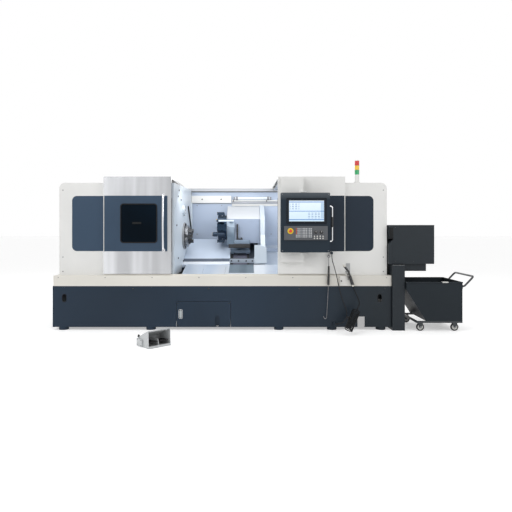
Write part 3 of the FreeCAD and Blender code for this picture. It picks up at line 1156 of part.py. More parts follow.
def conveyor_head():
    """The head's casing, notched where it meets the cover, with the open outlet and its drive motor."""
    x0, x1, z0, z1 = HEAD
    notch_x, notch_top, notch_low = x0 + 62, 1094.0, 1024.0
    outline = [
        (x0, z0), (x0, notch_low), (notch_x, notch_top), (x0 + 8, notch_top), (x0 + 8, z1), (x1, z1),
        (x1, z0),
    ]
    casing = prism([(x, HEAD_Y0, z) for x, z in outline], V(0, HEAD_Y1 - HEAD_Y0, 0))
    t, (ox0, ox1, oz) = CASING, OUTLET
    duct = box(ox0 + t, ox1 - t, HEAD_Y0 + 40, HEAD_Y1 - 40, oz - 1, z1 - 120)
    spout = box(ox0, ox1, HEAD_Y0 + 36, HEAD_Y1 - 36, oz, z0 + 1)
    motor = rod(V((x0 + x1) / 2 + 90, HEAD_Y1, z1 - 150), Y_AXIS, 78, 190)
    gearbox = box((x0 + x1) / 2 + 10, (x0 + x1) / 2 + 170, HEAD_Y1, HEAD_Y1 + 70, z1 - 230, z1 - 70)
    return casing.fuse([spout, motor, gearbox]).cut(duct)


CART_Y0, CART_Y1 = FRONT - 75.0, FRONT + 518.0
CART_LEFT, CART_RIGHT = RIGHT_END + 164.0, RIGHT_END + 848.0
CART_TOP, CART_LOW, CART_KNEE = 566.0, 87.0, 470.0
CART_SLOPE_FOOT = CART_LEFT + 241.0
WHEEL_RADIUS, WHEEL_WIDTH = 48.0, 26.0
WHEEL_X = (CART_LEFT + 176.0, CART_RIGHT - 86.0)
AXLE_RADIUS = 6.0
CART_FRAME = 22.0


def cart_hopper():
    """A welded sheet hopper with a rolled rim, its front end sloped so that chips slide to the drain."""
    outline = [
        (CART_LEFT, CART_TOP), (CART_LEFT, CART_KNEE), (CART_SLOPE_FOOT, CART_LOW), (CART_RIGHT, CART_LOW),
        (CART_RIGHT, CART_TOP),
    ]
    t = SHEET
    inner = [
        (CART_LEFT + t, CART_TOP + 1), (CART_LEFT + t, CART_KNEE + t / 2),
        (CART_SLOPE_FOOT + t / 2, CART_LOW + t),
        (CART_RIGHT - t, CART_LOW + t), (CART_RIGHT - t, CART_TOP + 1),
    ]  # fmt: skip
    outer = prism([(x, CART_Y0, z) for x, z in outline], V(0, CART_Y1 - CART_Y0, 0))
    hollow = prism([(x, CART_Y0 + t, z) for x, z in inner], V(0, CART_Y1 - CART_Y0 - 2 * t, 0))
    rim_outer = box(CART_LEFT - 5, CART_RIGHT + 5, CART_Y0 - 5, CART_Y1 + 5, CART_TOP - 14, CART_TOP)
    rim_inner = box(CART_LEFT + t, CART_RIGHT - t, CART_Y0 + t, CART_Y1 - t, CART_TOP - 15, CART_TOP + 1)
    return outer.cut(hollow).fuse(rim_outer.cut(rim_inner))


def cart_frame():
    """The square-tube frame with four forks and the push handle."""
    x0, x1, y0, y1, s = WHEEL_X[0] - 56, CART_RIGHT, CART_Y0, CART_Y1, CART_FRAME
    top = CART_LOW
    ring = box(x0, x1, y0, y1, top - s, top).cut(box(x0 + s, x1 - s, y0 + s, y1 - s, top - s - 1, top + 1))
    parts = []
    for x in WHEEL_X:
        for y in wheel_rows():
            parts.append(caster_fork(x, y))
    z0, z1 = CART_TOP - 60, CART_TOP + 66
    reach = CART_RIGHT + 150
    route = [
        (CART_RIGHT + 5, y0 + 30, z0), (CART_RIGHT + 40, y0 + 30, z0 + 10), (reach, y0 + 30, z1),
        (reach, y1 - 30, z1), (CART_RIGHT + 40, y1 - 30, z0 + 10), (CART_RIGHT + 5, y1 - 30, z0),
    ]  # fmt: skip
    handle, _ = tube(route, 12.0, (40.0, 34.0, 34.0, 40.0))
    pads = [box(CART_RIGHT, CART_RIGHT + 6, y - 26, y + 26, z0 - 26, z0 + 26) for y in (y0 + 30, y1 - 30)]
    return group(ring.fuse(parts), handle.fuse(pads))


def wheel_rows():
    return CART_Y0 + 34, CART_Y1 - 34


def caster_fork(x, y):
    """A pressed fork with its axle under the frame."""
    top, axle_z = CART_LOW - CART_FRAME, FLOOR + WHEEL_RADIUS
    half = WHEEL_WIDTH / 2 + 1.5
    crown = box(x - 30, x + 30, y - half - 4, y + half + 4, top - 4, top + 1)
    cheeks = [
        prism(
            [(x - 30, a, top - 3), (x + 30, a, top - 3), (x + 12, a, axle_z - 10), (x - 12, a, axle_z - 10)],
            V(0, 4, 0),
        )
        for a in (y - half - 4, y + half)
    ]
    axle = rod(V(x, y - half - 8, axle_z), Y_AXIS, AXLE_RADIUS, 2 * half + 16)
    return crown.fuse([*cheeks, axle])


def cart_wheel(x, y):
    """A wheel with a chamfered tread, dished on both sides, bored for its axle."""
    r, w, bore = WHEEL_RADIUS, WHEEL_WIDTH / 2, AXLE_RADIUS + SHAFT_CLEAR
    side = [(bore, -w), (16, -w), (r - 15, -w + 5), (r - 4, -w), (r, -w + 5)]
    profile = side + [(a, -b) for a, b in reversed(side)]
    z = FLOOR + WHEEL_RADIUS
    points = [V(x + a, y + b, z) for a, b in profile]
    return Part.Face(Part.makePolygon(points + points[:1])).revolve(V(x, y, z), Y_AXIS, 360)


# ---- the parts -------------------------------------------------------------------------------------
def fixed_way_leaf():
    """The way cover that stays fixed to the headstock's face and reaches out under the guard."""
    return way_leaf(HEAD_RIGHT, guard_x(LEAF_MIDDLE_Y) + GAP + LEAF_LENGTH, 0)


def all_parts():
    left_x0, left_x1 = LEFT_DOOR
    right_x0, right_x1 = RIGHT_DOOR
    window = window_outline(DOOR_FRONT - 10, DOOR_FRONT + 10, WINDOW_LIP)
    leaf_gap = SADDLE_LEFT - guard_x(LEAF_MIDDLE_Y) - GAP
    leaf_x = SADDLE_LEFT - (leaf_gap + LEAF_LENGTH) / 2
    parts = {
        "base_skirt": base_skirt(),
        "apron": apron(),
        "left_cover": left_cover(),
        "right_cover": right_cover(),
        "rear_enclosure": rear_enclosure(),
        "work_lamp": work_lamp(),
        "spindle_guard": spindle_guard(),
        "chute_panels": chute_panels(),
        "electrical_cabinet": electrical_cabinet(),
        "bed_casting": bed_casting(),
        "headstock": headstock(),
        "chuck_body": chuck_body(),
        "saddle": saddle(),
        "cross_slide": cross_slide(),
        "turret_housing": turret_housing(),
        "turret_hood": turret_hood(),
        "carriage_shield": carriage_shield(),
        "turret_disc": turret_disc(),
        "turret_tools": turret_tools(),
        "way_leaf_fixed": fixed_way_leaf(),
        "way_leaf_middle": way_leaf(leaf_x, leaf_x + LEAF_LENGTH, 1),
        "way_leaf_carriage": carriage_leaf(),
        "tailstock": tailstock(),
        "tailstock_quill": tailstock_quill(),
        "left_door": sliding_door(left_x0, left_x1, left_x0 + 2, left_x1 - 48, window),
        "door_window": door_window(),
        "door_handle": door_handle(),
        "right_door": sliding_door(right_x0, right_x1, right_x0 + 48, right_x1 - 2, fitting=door_gland()),
        "panel_column": panel_column(),
        "panel_housing": panel_housing(),
        "panel_screen": panel_screen(),
        "control_plate": control_plate(),
        "stop_button": stop_button(),
        "panel_handle": panel_handle(),
        "tower_post": tower_post(),
        "tower_lenses": tower_lenses(),
        "coolant_tank": coolant_tank(),
        "chip_hook": chip_hook(),
        "gun_bracket": gun_bracket(),
        "gun_body": gun_body(),
        "gun_trigger": gun_trigger(),
        "gun_hose": gun_hose(),
        "gun_coil": gun_coil(),
        "panel_cable": panel_cable(),
        "foot_switch_body": foot_switch_body(),
        "foot_pedal_left": foot_pedal(-1),
        "foot_pedal_right": foot_pedal(1),
        "conveyor_body": conveyor_body(),
        "conveyor_head": conveyor_head(),
        "cart_hopper": cart_hopper(),
        "cart_frame": cart_frame(),
    }
    for i, turn in enumerate(JAW_TURNS):
        parts[f"chuck_jaw_{i + 1}"] = chuck_jaw(turn)
    for name, x in zip(("feed_knob", "speed_knob"), KNOB_X):
        parts[name] = override_knob(x)
    for column, x in zip(("left", "right"), WHEEL_X):
        for row, y in zip(("front", "rear"), wheel_rows()):
            parts[f"cart_wheel_{row}_{column}"] = cart_wheel(x, y)
    return parts


def main():
    os.makedirs("parts", exist_ok=True)
    for name, shape in all_parts().items():
        if not shape.isValid() or not shape.Solids:
            raise ValueError(f"{name} isn't a valid solid")
        placed = shape.copy()
        placed.translate(V(0, 0, -FLOOR))
        placed.exportStep(f"parts/{name}.step")


main()
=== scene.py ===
"""Finishes and fine pieces for a slant-bed turning lathe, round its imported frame.

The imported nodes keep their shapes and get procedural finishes. The fine pieces that the frame leaves out
(cords, seals, screws, gauges, scales, hinges, louvres) are surfaces worked out with numpy, in metres.
"""

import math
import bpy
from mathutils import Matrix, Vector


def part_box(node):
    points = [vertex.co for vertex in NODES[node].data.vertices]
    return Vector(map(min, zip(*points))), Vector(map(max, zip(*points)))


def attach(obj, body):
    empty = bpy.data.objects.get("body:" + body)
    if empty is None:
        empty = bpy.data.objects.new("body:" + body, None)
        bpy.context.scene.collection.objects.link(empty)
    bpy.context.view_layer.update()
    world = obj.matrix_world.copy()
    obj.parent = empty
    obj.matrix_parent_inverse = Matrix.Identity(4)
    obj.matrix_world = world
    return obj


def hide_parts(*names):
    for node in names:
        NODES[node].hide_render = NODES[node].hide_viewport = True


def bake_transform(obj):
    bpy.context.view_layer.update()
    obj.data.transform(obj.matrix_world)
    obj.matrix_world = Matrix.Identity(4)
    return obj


bl_info = {
    "name": "Turning lathe finishes",
    "version": (1, 0, 0),
    "blender": (4, 5, 0),
    "location": "3D View > Sidebar > Lathe",
    "description": "Paintwork, cords and fine pieces of a turning lathe",
    "category": "Object",
}

import bmesh
import bpy
import numpy as np
from bpy.props import FloatProperty, FloatVectorProperty, IntProperty, PointerProperty
from mathutils import Vector

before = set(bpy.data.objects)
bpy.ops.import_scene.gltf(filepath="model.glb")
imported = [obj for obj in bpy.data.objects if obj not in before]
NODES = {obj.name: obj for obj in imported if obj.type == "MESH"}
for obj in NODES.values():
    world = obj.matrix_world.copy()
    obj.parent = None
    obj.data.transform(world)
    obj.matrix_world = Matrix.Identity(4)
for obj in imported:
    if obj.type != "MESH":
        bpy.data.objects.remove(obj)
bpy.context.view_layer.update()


def low(node, axis):
    """The lowest place of a node along an axis."""
    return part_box(node)[0]["XYZ".index(axis)]


def high(node, axis):
    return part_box(node)[1]["XYZ".index(axis)]


def ends(node, axis):
    return low(node, axis), high(node, axis)


def halfway(node, axis):
    return (low(node, axis) + high(node, axis)) / 2


# ---- directions and places ------------------------------------------------------------------------
RIGHT, LEFT = (1, 0, 0), (-1, 0, 0)
BACK, FRONT = (0, 1, 0), (0, -1, 0)
UP = (0, 0, 1)

BASE_FRONT = low("apron", "Y")
BASE_TOP = low("apron", "Z")
DOOR_FACE = low("door_window", "Y") + 0.005
BAND_FACE = DOOR_FACE - 0.001  # what stands in front of this on a door is its dark band
BAND_LOW, BAND_HIGH = 0.975, 1.667
COVER_BAND_FACE = low("left_cover", "Y") + 0.001
COVER_FACE = COVER_BAND_FACE + 0.001
PLATE_FACE = low("stop_button", "Y") + 0.028  # the control plate, under the stop
KEY_FACE = -1.1708  # where its small buttons stand
WALL_FACE = 0.35  # the rear wall, on its work side
BACK_SKIN = 0.700  # the covers' rear face
CONVEYOR_FACE = -0.935  # the conveyor's box, at the front
COLUMN_FACE = -0.985  # the conveyor's column
CARRIAGE_FACE = -0.351  # the bolted plate on the carriage's foot
GUARD_LEAN = 0.086 / 1.193  # how far the guard's face moves right for each metre back
GUARD_BOSS = (-0.3, 1.511)  # y and z of its round boss
SPINDLE = Vector((high("chuck_body", "X"), -0.2, 1.152))  # its axis at the chuck's face
TURRET = Vector((low("turret_disc", "X") + 0.016, 0.00785, 1.272))  # its axis at the disc's left face
SIGHT_GLASS = (-0.531, -0.497, 0.148, 0.248)  # the tank's, its x and z from and to
BED_SLOPE = math.radians(30)
BED_DECK = -0.396  # the bed's ground face, measured square to its slope from the spindle's axis


# ---- sizes and colours that a user would change ---------------------------------------------------
def colour(name, words, value):
    return FloatVectorProperty(
        name=name, description=words, default=value, subtype="COLOR", size=3, min=0.0, max=1.0
    )


def length(name, words, value):
    return FloatProperty(name=name, description=words, default=value, min=0.0, max=1.0, unit="LENGTH")


class LatheColours(bpy.types.PropertyGroup):
    cover: colour("Covers", "Powder coat of the end covers", (0.80, 0.80, 0.785))
    apron: colour("Apron", "Powder coat of the band over the base", (0.80, 0.775, 0.715))
    navy: colour("Navy", "Powder coat of the base and of the dark band", (0.022, 0.038, 0.062))
    charcoal: colour("Charcoal", "Powder coat of the conveyor and the chip cart", (0.022, 0.028, 0.034))
    inner: colour("Work area", "Sheet steel of the work area", (0.50, 0.59, 0.74))
    casting: colour("Castings", "Enamel of the castings", (0.20, 0.225, 0.245))
    amber: colour("Amber lens", "Middle lens of the signal tower", (0.95, 0.62, 0.05))
    red: colour("Red", "Top lens and emergency stop", (0.72, 0.02, 0.02))
    green: colour("Green lens", "Lowest lens of the signal tower", (0.02, 0.42, 0.14))


class LatheSizes(bpy.types.PropertyGroup):
    hose: length("Hose", "Outside diameter of the wash gun's hose", 0.012)
    cable: length("Cable", "Outside diameter of the panel's cable", 0.010)
    coil_turns: IntProperty(
        name="Coil turns", description="Turns of the hose's spring", default=13, min=3, max=60,
    )
    coil_radius: length("Coil radius", "Middle of the coil's turns", 0.046)
    screw: length("Screw head", "Radius of the cover screws' heads", 0.009)
    seal: length("Seal", "Radius of the doors' rubber seals", 0.007)


# ---- surfaces ---------------------------------------------------------------------------------------
def grid_faces(rows, columns, close_rows=False, close_columns=False):
    """Quads over a grid of points counted row by row. A closed direction joins its last line to its first."""
    i = np.arange(rows if close_rows else rows - 1)[:, None]
    j = np.arange(columns if close_columns else columns - 1)[None, :]
    a = i * columns + j
    b = i * columns + (j + 1) % columns
    c = ((i + 1) % rows) * columns + (j + 1) % columns
    d = ((i + 1) % rows) * columns + j
    return np.stack([a, b, c, d], axis=-1).reshape(-1, 4)


def build(name, form, skin, body, smooth=True, soften=0.0):
    """Puts a form's points and faces, or those of a list of forms, into a mesh with the finish called skin:
    merges its doubles, turns its faces outwards and, where asked, rounds its edges."""
    points, faces = gathered(form) if isinstance(form, list) else form
    mesh = bpy.data.meshes.new(name)
    mesh.from_pydata(np.asarray(points, float).tolist(), [], [list(f) for f in faces])
    work = bmesh.new()
    work.from_mesh(mesh)
    bmesh.ops.remove_doubles(work, verts=work.verts, dist=1e-7)
    bmesh.ops.dissolve_degenerate(work, edges=work.edges, dist=1e-7)
    bmesh.ops.recalc_face_normals(work, faces=work.faces)
    work.to_mesh(mesh)
    work.free()
    if smooth:
        mesh.shade_smooth()
        mesh.set_sharp_from_angle(angle=math.radians(38))
    piece = bpy.data.objects.new(name, mesh)
    bpy.context.scene.collection.objects.link(piece)
    mesh.materials.append(finish(skin))
    if soften:
        rounding = piece.modifiers.new("edges", "BEVEL")
        rounding.width, rounding.segments = soften, 2
        rounding.limit_method, rounding.angle_limit = "ANGLE", math.radians(40)
    if body:
        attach(piece, body)
    return piece


def basis(axis):
    """Three unit vectors: two square to the axis, and the axis."""
    w = np.asarray(axis, float)
    w = w / np.linalg.norm(w)
    helper = np.array([0.0, 0.0, 1.0]) if abs(w[2]) < 0.9 else np.array([1.0, 0.0, 0.0])
    u = np.cross(helper, w)
    u = u / np.linalg.norm(u)
    return u, np.cross(w, u), w


def turned(profile, centre, axis, sides=24):
    """A turned form: point (r, h) of the profile goes to centre + h*axis + r*(cos t, sin t), t round the
    axis. The profile starts and ends on the axis, so both poles close."""
    u, v, w = basis(axis)
    r, h = np.asarray(profile, float).T
    t = np.linspace(0, 2 * math.pi, sides, endpoint=False)
    ring = np.cos(t)[None, :, None] * u + np.sin(t)[None, :, None] * v
    points = np.asarray(centre, float) + h[:, None, None] * w + r[:, None, None] * ring
    return points.reshape(-1, 3), grid_faces(len(r), sides, close_columns=True)


def swept(path, outline, closed_path=False, helper=(0.0, 0.0, 1.0)):
    """A section carried along a path: point (a, b) of the outline goes to path + a*side + b*rise,
    with side square to the path's direction and to a helper vector. Ends are closed by their outline."""
    p = np.asarray(path, float)
    d = np.roll(p, -1, 0) - np.roll(p, 1, 0)
    if not closed_path:
        d[0], d[-1] = p[1] - p[0], p[-1] - p[-2]
    d /= np.linalg.norm(d, axis=1)[:, None]
    side = np.cross(d, np.asarray(helper, float))
    side /= np.linalg.norm(side, axis=1)[:, None]
    rise = np.cross(side, d)
    a, b = np.asarray(outline, float).T
    points = p[:, None, :] + a[None, :, None] * side[:, None, :] + b[None, :, None] * rise[:, None, :]
    n, k = len(p), len(a)
    faces = grid_faces(n, k, close_rows=closed_path, close_columns=True).tolist()
    if not closed_path:
        faces += [list(range(k)), list(range((n - 1) * k, n * k))[::-1]]
    return points.reshape(-1, 3), faces


def circle(radius, sides=12):
    """Points (r cos t, r sin t) of a round section."""
    t = np.linspace(0, 2 * math.pi, sides, endpoint=False)
    return np.stack([radius * np.cos(t), radius * np.sin(t)], axis=1)


def soft_block(lower, upper, radius, steps=3):
    """A block with rounded edges: each point of a sphere's grid is pushed out to the block's inner corner
    on its own side, so flats lie between the rounded edges."""
    lower, upper = np.asarray(lower, float), np.asarray(upper, float)
    middle, half = (lower + upper) / 2, (upper - lower) / 2 - radius
    across = np.concatenate([np.linspace(q, q + 0.5, steps + 1) for q in (0, 0.5, 1.0, 1.5)]) * math.pi
    down = np.concatenate([np.linspace(0, 0.5, steps + 1), np.linspace(0.5, 1.0, steps + 1)]) * math.pi
    sign_x = np.repeat([1, -1, -1, 1], steps + 1)[None, :]
    sign_y = np.repeat([1, 1, -1, -1], steps + 1)[None, :]
    sign_z = np.repeat([1, -1], steps + 1)[:, None]
    x = radius * np.sin(down)[:, None] * np.cos(across)[None, :] + half[0] * sign_x
    y = radius * np.sin(down)[:, None] * np.sin(across)[None, :] + half[1] * sign_y
    z = radius * np.cos(down)[:, None] * np.ones_like(across)[None, :] + half[2] * sign_z
    points = np.stack([x, y, z], axis=-1) + middle
    rows, columns = points.shape[:2]
    faces = grid_faces(rows, columns, close_columns=True)[:, ::-1].tolist()
    faces += [list(range(columns)), list(range((rows - 1) * columns, rows * columns))[::-1]]
    return points.reshape(-1, 3), faces


def slant(u, n):
    """The (y, z) of a place u up the bed's slant and n square to it, from the spindle's axis."""
    c, s = 0.8660, 0.5  # the cosine and sine of the bed's slope
    return SPINDLE.y + c * u - s * n, SPINDLE.z + s * u + c * n


def prism(outline, axis, a, b):
    """A flat outline carried straight along an axis from a to b; the outline itself closes both ends.
    Its pairs are (y, z) for X, (x, z) for Y and (x, y) for Z."""
    flat = np.asarray(outline, float)
    k, n = "XYZ".index(axis), len(flat)
    points = np.concatenate([np.insert(flat, k, level, axis=1) for level in (a, b)])
    faces = grid_faces(2, n, close_columns=True).tolist()
    return points, faces + [list(range(n)), list(range(n, 2 * n))[::-1]]


def slant_block(x0, x1, u0, u1, n0, n1):
    """A block that lies along the bed's slant."""
    return prism([slant(u0, n0), slant(u1, n0), slant(u1, n1), slant(u0, n1)], "X", x0, x1)


def ring(centre, axis, inner, outer, thick, sides=32):
    """A flat washer: a small rectangle turned about an axis, closed on itself."""
    u, v, w = basis(axis)
    t = np.linspace(0, 2 * math.pi, sides, endpoint=False)
    r = np.array([inner, outer, outer, inner])
    h = np.array([0, 0, thick, thick])
    spoke = np.cos(t)[None, :, None] * u + np.sin(t)[None, :, None] * v
    points = np.asarray(centre, float) + h[:, None, None] * w + r[:, None, None] * spoke
    return points.reshape(-1, 3), grid_faces(4, sides, close_rows=True, close_columns=True)


def gathered(forms):
    """Several forms as one: their points in a row, with each form's faces counted on."""
    points, faces, start = [], [], 0
    for p, f in forms:
        points.append(np.asarray(p, float))
        faces += [[start + k for k in face] for face in (f.tolist() if hasattr(f, "tolist") else f)]
        start += len(p)
    return np.concatenate(points), faces


SCREW_PROFILE = (
    (0, 0.62), (0.30, 0.60), (0.34, 0.30), (0.52, 0.30), (0.55, 0.62), (0.86, 0.60), (1.0, 0.46), (1.0, 0),
    (0, 0),
)  # fmt: skip


def screws(places, axis, radius):
    """Round screw heads with a socket, each a turned form that stands on its place along the axis."""
    profile = np.array(SCREW_PROFILE)[::-1] * radius
    return gathered([turned(profile, place, axis, 16) for place in places])


# ---- finishes ---------------------------------------------------------------------------------------
def shade(base, k):
    """A colour made darker (k under 1) or lighter."""
    return tuple(min(c * k, 1.0) for c in base)


class Finish:
    """A material with short calls for the nodes that this machine's finishes use."""

    def __init__(self, name, base, rough, metal=0.0, **sockets):
        self.material = bpy.data.materials.new(name)
        self.material.use_nodes = True
        self.nodes, self.links = self.material.node_tree.nodes, self.material.node_tree.links
        self.shader = self.nodes["Principled BSDF"]
        self.paint((*base, 1.0))
        self.put("Roughness", rough)
        self.put("Metallic", metal)
        for key, value in sockets.items():
            self.put(key.replace("_", " "), value)
        self.object_place = self.nodes.new("ShaderNodeTexCoord").outputs["Object"]
        parts = self.nodes.new("ShaderNodeSeparateXYZ")
        self.links.new(self.object_place, parts.inputs[0])
        self.axes = {"X": parts.outputs[0], "Y": parts.outputs[1], "Z": parts.outputs[2]}

    def feed(self, target, value):
        """Sets a socket, or links it if the value is another node's output."""
        if hasattr(value, "links"):
            self.links.new(value, target)
        else:
            target.default_value = value

    def put(self, socket, value):
        self.feed(self.shader.inputs[socket], value)

    def paint(self, value):
        self.put("Base Color", value)

    def share(self, socket, mask, outside, inside):
        """One value of a shader socket where the mask is 0 and another where it is 1."""
        self.put(socket, self.range(mask, 0.0, 1.0, outside, inside))

    def worn(self, scale, detail, smoothest, roughest):
        """A roughness that varies softly between two values."""
        self.put("Roughness", self.range(self.noise(scale, detail), 0.3, 0.7, smoothest, roughest))

    def calc(self, kind, a, b=0.0):
        """A Math node."""
        node = self.nodes.new("ShaderNodeMath")
        node.operation = kind
        self.feed(node.inputs[0], a)
        self.feed(node.inputs[1], b)
        return node.outputs[0]

    def above(self, axis, level):
        """1 past a level of an axis, else 0."""
        return self.calc("GREATER_THAN", self.axes[axis], level)

    def below(self, axis, level):
        return self.calc("LESS_THAN", self.axes[axis], level)

    def both(self, a, b):
        return self.calc("MULTIPLY", a, b)

    def within(self, axis, lower, upper):
        """1 between two levels of an axis, else 0."""
        return self.both(self.above(axis, lower), self.below(axis, upper))

    def offset(self, axis, level):
        return self.calc("SUBTRACT", self.axes[axis], level)

    def square_sum(self, a, b):
        """a*a + b*b, the square of a distance."""
        return self.calc("ADD", self.both(a, a), self.both(b, b))

    def distance(self, a, b):
        return self.calc("SQRT", self.square_sum(a, b))

    def either(self, a, b):
        return self.calc("MAXIMUM", a, b)

    def zone(self, x0, x1, z0, z1):
        """1 inside an upright rectangle seen from the front."""
        return self.both(self.within("X", x0, x1), self.within("Z", z0, z1))

    def noise(self, scale, detail=2.0, stretch=(1.0, 1.0, 1.0)):
        mapping = self.nodes.new("ShaderNodeMapping")
        mapping.inputs["Scale"].default_value = stretch
        self.links.new(self.object_place, mapping.inputs[0])
        node = self.nodes.new("ShaderNodeTexNoise")
        node.inputs["Scale"].default_value = scale
        node.inputs["Detail"].default_value = detail
        self.links.new(mapping.outputs[0], node.inputs["Vector"])
        return node.outputs[0]

    def range(self, value, from_low, from_high, to_low, to_high):
        node = self.nodes.new("ShaderNodeMapRange")
        self.feed(node.inputs[0], value)
        for k, v in enumerate((from_low, from_high, to_low, to_high)):
            node.inputs[k + 1].default_value = v
        return node.outputs[0]

    def mix(self, share, a, b):
        """A colour mix."""
        node = self.nodes.new("ShaderNodeMix")
        node.data_type = "RGBA"
        self.feed(node.inputs[0], share)
        for target, value in ((node.inputs[6], a), (node.inputs[7], b)):
            self.feed(target, value if hasattr(value, "links") else (*value, 1.0))
        return node.outputs[2]

    def bump(self, height, strength, distance):
        node = self.nodes.new("ShaderNodeBump")
        node.inputs["Strength"].default_value = strength
        node.inputs["Distance"].default_value = distance
        self.links.new(height, node.inputs["Height"])
        self.put("Normal", node.outputs[0])

    def mottled(self, base, amount=0.03, scale=1.7):
        """The base colour, a little darker and lighter in wide soft patches."""
        patches = self.range(self.noise(scale, 3.0), 0.35, 0.65, 0.0, 1.0)
        return self.mix(patches, shade(base, 1 - amount), shade(base, 1 + amount))

    def grain(self, scale, detail, strength, depth):
        self.bump(self.noise(scale, detail), strength, depth)

    def coat(self, scale=420.0, strength=0.035):
        """The fine orange-peel of a powder coat."""
        self.grain(scale, 1.5, strength, 0.0006)

    def brush(self, along, strength=0.08):
        """Fine grinding lines along an axis."""
        stretch = [260.0, 260.0, 260.0]
        stretch["XYZ".index(along)] = 3.0
        self.bump(self.noise(1.0, 3.0, stretch), strength, 0.0004)


def powder_coat(name, base, rough=0.36, gloss=0.35):
    f = Finish(name, base, rough, Specular_IOR_Level=gloss)
    f.paint(f.mottled(base))
    f.worn(24.0, 3.0, rough - 0.05, rough + 0.06)
    f.coat()
    return f


def sheet_steel(name, base, rough=0.3, metal=0.55, along="X", spread=0.10):
    """Bare or zinc-bright sheet, with wide cloudy patches and fine rolling lines."""
    f = Finish(name, base, rough, metal)
    f.paint(f.mottled(base, spread, 1.3))
    f.worn(9.0, 3.0, rough - 0.07, rough + 0.09)
    f.brush(along, 0.06)
    return f


def turned_steel(name, base, rough=0.26, centre=(0.0, 0.0), pitch=900.0):
    """Steel turned about an axis along X: fine rings by the distance from it plus the place along it."""
    f = Finish(name, base, rough, 0.95)
    y = f.offset("Y", centre[0])
    z = f.offset("Z", centre[1])
    radius = f.distance(y, z)
    rings = f.calc("SINE", f.both(f.calc("ADD", radius, f.axes["X"]), pitch * 2 * math.pi))
    f.paint(f.mottled(base, 0.08, 14.0))
    f.worn(60.0, 2.0, rough - 0.06, rough + 0.08)
    f.bump(rings, 0.06, 0.0003)
    return f


def rubber(name, base=(0.012, 0.012, 0.013), rough=0.55):
    f = Finish(name, base, rough, Specular_IOR_Level=0.2)
    f.paint(f.mottled(base, 0.2, 30.0))
    f.grain(800.0, 2.0, 0.12, 0.0004)
    return f


def moulded(name, base):
    """Moulded plastic with a fine spark texture."""
    f = Finish(name, base, 0.4)
    f.paint(f.mottled(base, 0.05, 12.0))
    f.grain(1500.0, 1.0, 0.08, 0.0002)
    return f


def chrome(name):
    f = Finish(name, (0.78, 0.78, 0.80), 0.07, 1.0)
    f.worn(30.0, 2.0, 0.05, 0.12)
    return f


# ---- the finishes of this machine ---------------------------------------------------------------------
def colours():
    return bpy.context.scene.lathe_colours


def sizes():
    return bpy.context.scene.lathe_sizes


def banded(name, face):
    """A pale panel with the dark raised band: in front of a depth it is dark, and painted light and shade
    make the band lighter at its left and darker to the right.
    """
    base, band, rough = colours().cover, colours().navy, 0.34
    f = Finish(name, base, rough, Specular_IOR_Level=0.22)
    dark = f.below("Y", face)
    # painted light and shade: the band goes from lighter at the left to darker at the right, as the light
    # falls off across the machine
    side = f.range(f.axes["X"], -1.2, 1.0, 0.0, 1.0)
    f.paint(f.mix(dark, f.mottled(base), f.mix(side, shade(band, 1.9), shade(band, 0.62))))
    f.worn(20.0, 2.0, rough - 0.04, rough + 0.05)
    f.coat()
    return f


def polished_door(name):
    """Polished sheet over and under a dark band. Its soft upright streaks are painted reflections, and
    painted shade makes it darker towards its right.
    """
    base = (0.60, 0.61, 0.63)
    f = Finish(name, base, 0.2, Specular_IOR_Level=0.22)
    dark = f.below("Y", BAND_FACE)
    # painted reflection: soft upright light and dark streaks across the polished sheet
    reflection_streak = f.range(f.noise(1.0, 2.0, (6.5, 0.6, 0.35)), 0.36, 0.64, 0.0, 1.0)
    # painted shade: lighter towards the door's left, darker towards its right
    side = f.range(f.axes["X"], *ends("left_door", "X"), 0.0, 1.0)
    left = f.mix(reflection_streak, shade(base, 0.96), shade(base, 1.36))
    right = f.mix(reflection_streak, shade(base, 0.68), shade(base, 0.98))
    sheet = f.mix(side, left, right)
    f.paint(f.mix(dark, sheet, f.mottled(shade(colours().navy, 1.9), 0.12, 1.0)))
    f.share("Metallic", dark, 0.62, 0.0)
    f.share("Roughness", dark, 0.20, 0.33)
    f.brush("Z", 0.05)
    return f


def enamel_casting(name):
    """Thick enamel over a cast skin: a coarse soft grain."""
    f = Finish(name, colours().casting, 0.42, Coat_Weight=0.2, Coat_Roughness=0.3)
    f.paint(f.mottled(colours().casting, 0.06, 3.0))
    f.grain(55.0, 4.0, 0.16, 0.002)
    return f


def apron_finish(name):
    """Warm white, with painted shade making it a little darker towards its right end."""
    f = powder_coat(name, colours().apron)
    # painted shade: darker towards the right end, as the light falls off
    side = f.range(f.axes["X"], 0.0, 2.0, 0.0, 1.0)
    f.paint(f.mix(side, f.mottled(colours().apron), shade(colours().apron, 0.84)))
    return f


def base_finish(name):
    """Navy over the whole base, bluer towards its left and middle and greyer at its right."""
    c = colours().navy
    f = powder_coat(name, c, 0.34, 0.18)
    wide = f.range(f.noise(0.55, 1.0, (1.0, 0.2, 0.6)), 0.35, 0.65, 0.0, 1.0)
    navy = f.mix(wide, shade(c, 0.80), shade(c, 1.22))
    side = f.range(f.axes["X"], 0.5, 1.9, 0.0, 1.0)
    f.paint(f.mix(side, navy, (0.020, 0.027, 0.034)))
    return f


def enclosure_finish(name):
    """Pale blue-grey inside, white outside, with a greyer beam over the opening and its dark lower edge."""
    c = colours()
    f = Finish(name, c.inner, 0.32, Coat_Weight=0.1, Coat_Roughness=0.3)
    outside = f.either(f.above("Y", 0.60), f.both(f.below("Y", 0.35), f.within("Z", 1.62, 1.76)))
    beam = f.above("Z", 1.8)
    front = f.mix(f.within("Z", 1.80, 1.816), (0.50, 0.52, 0.55), (0.10, 0.105, 0.11))
    inner = f.mix(beam, f.mottled(c.inner, 0.06, 1.0), front)
    f.paint(f.mix(outside, inner, f.mottled(c.cover)))
    f.coat(380.0, 0.08)
    return f


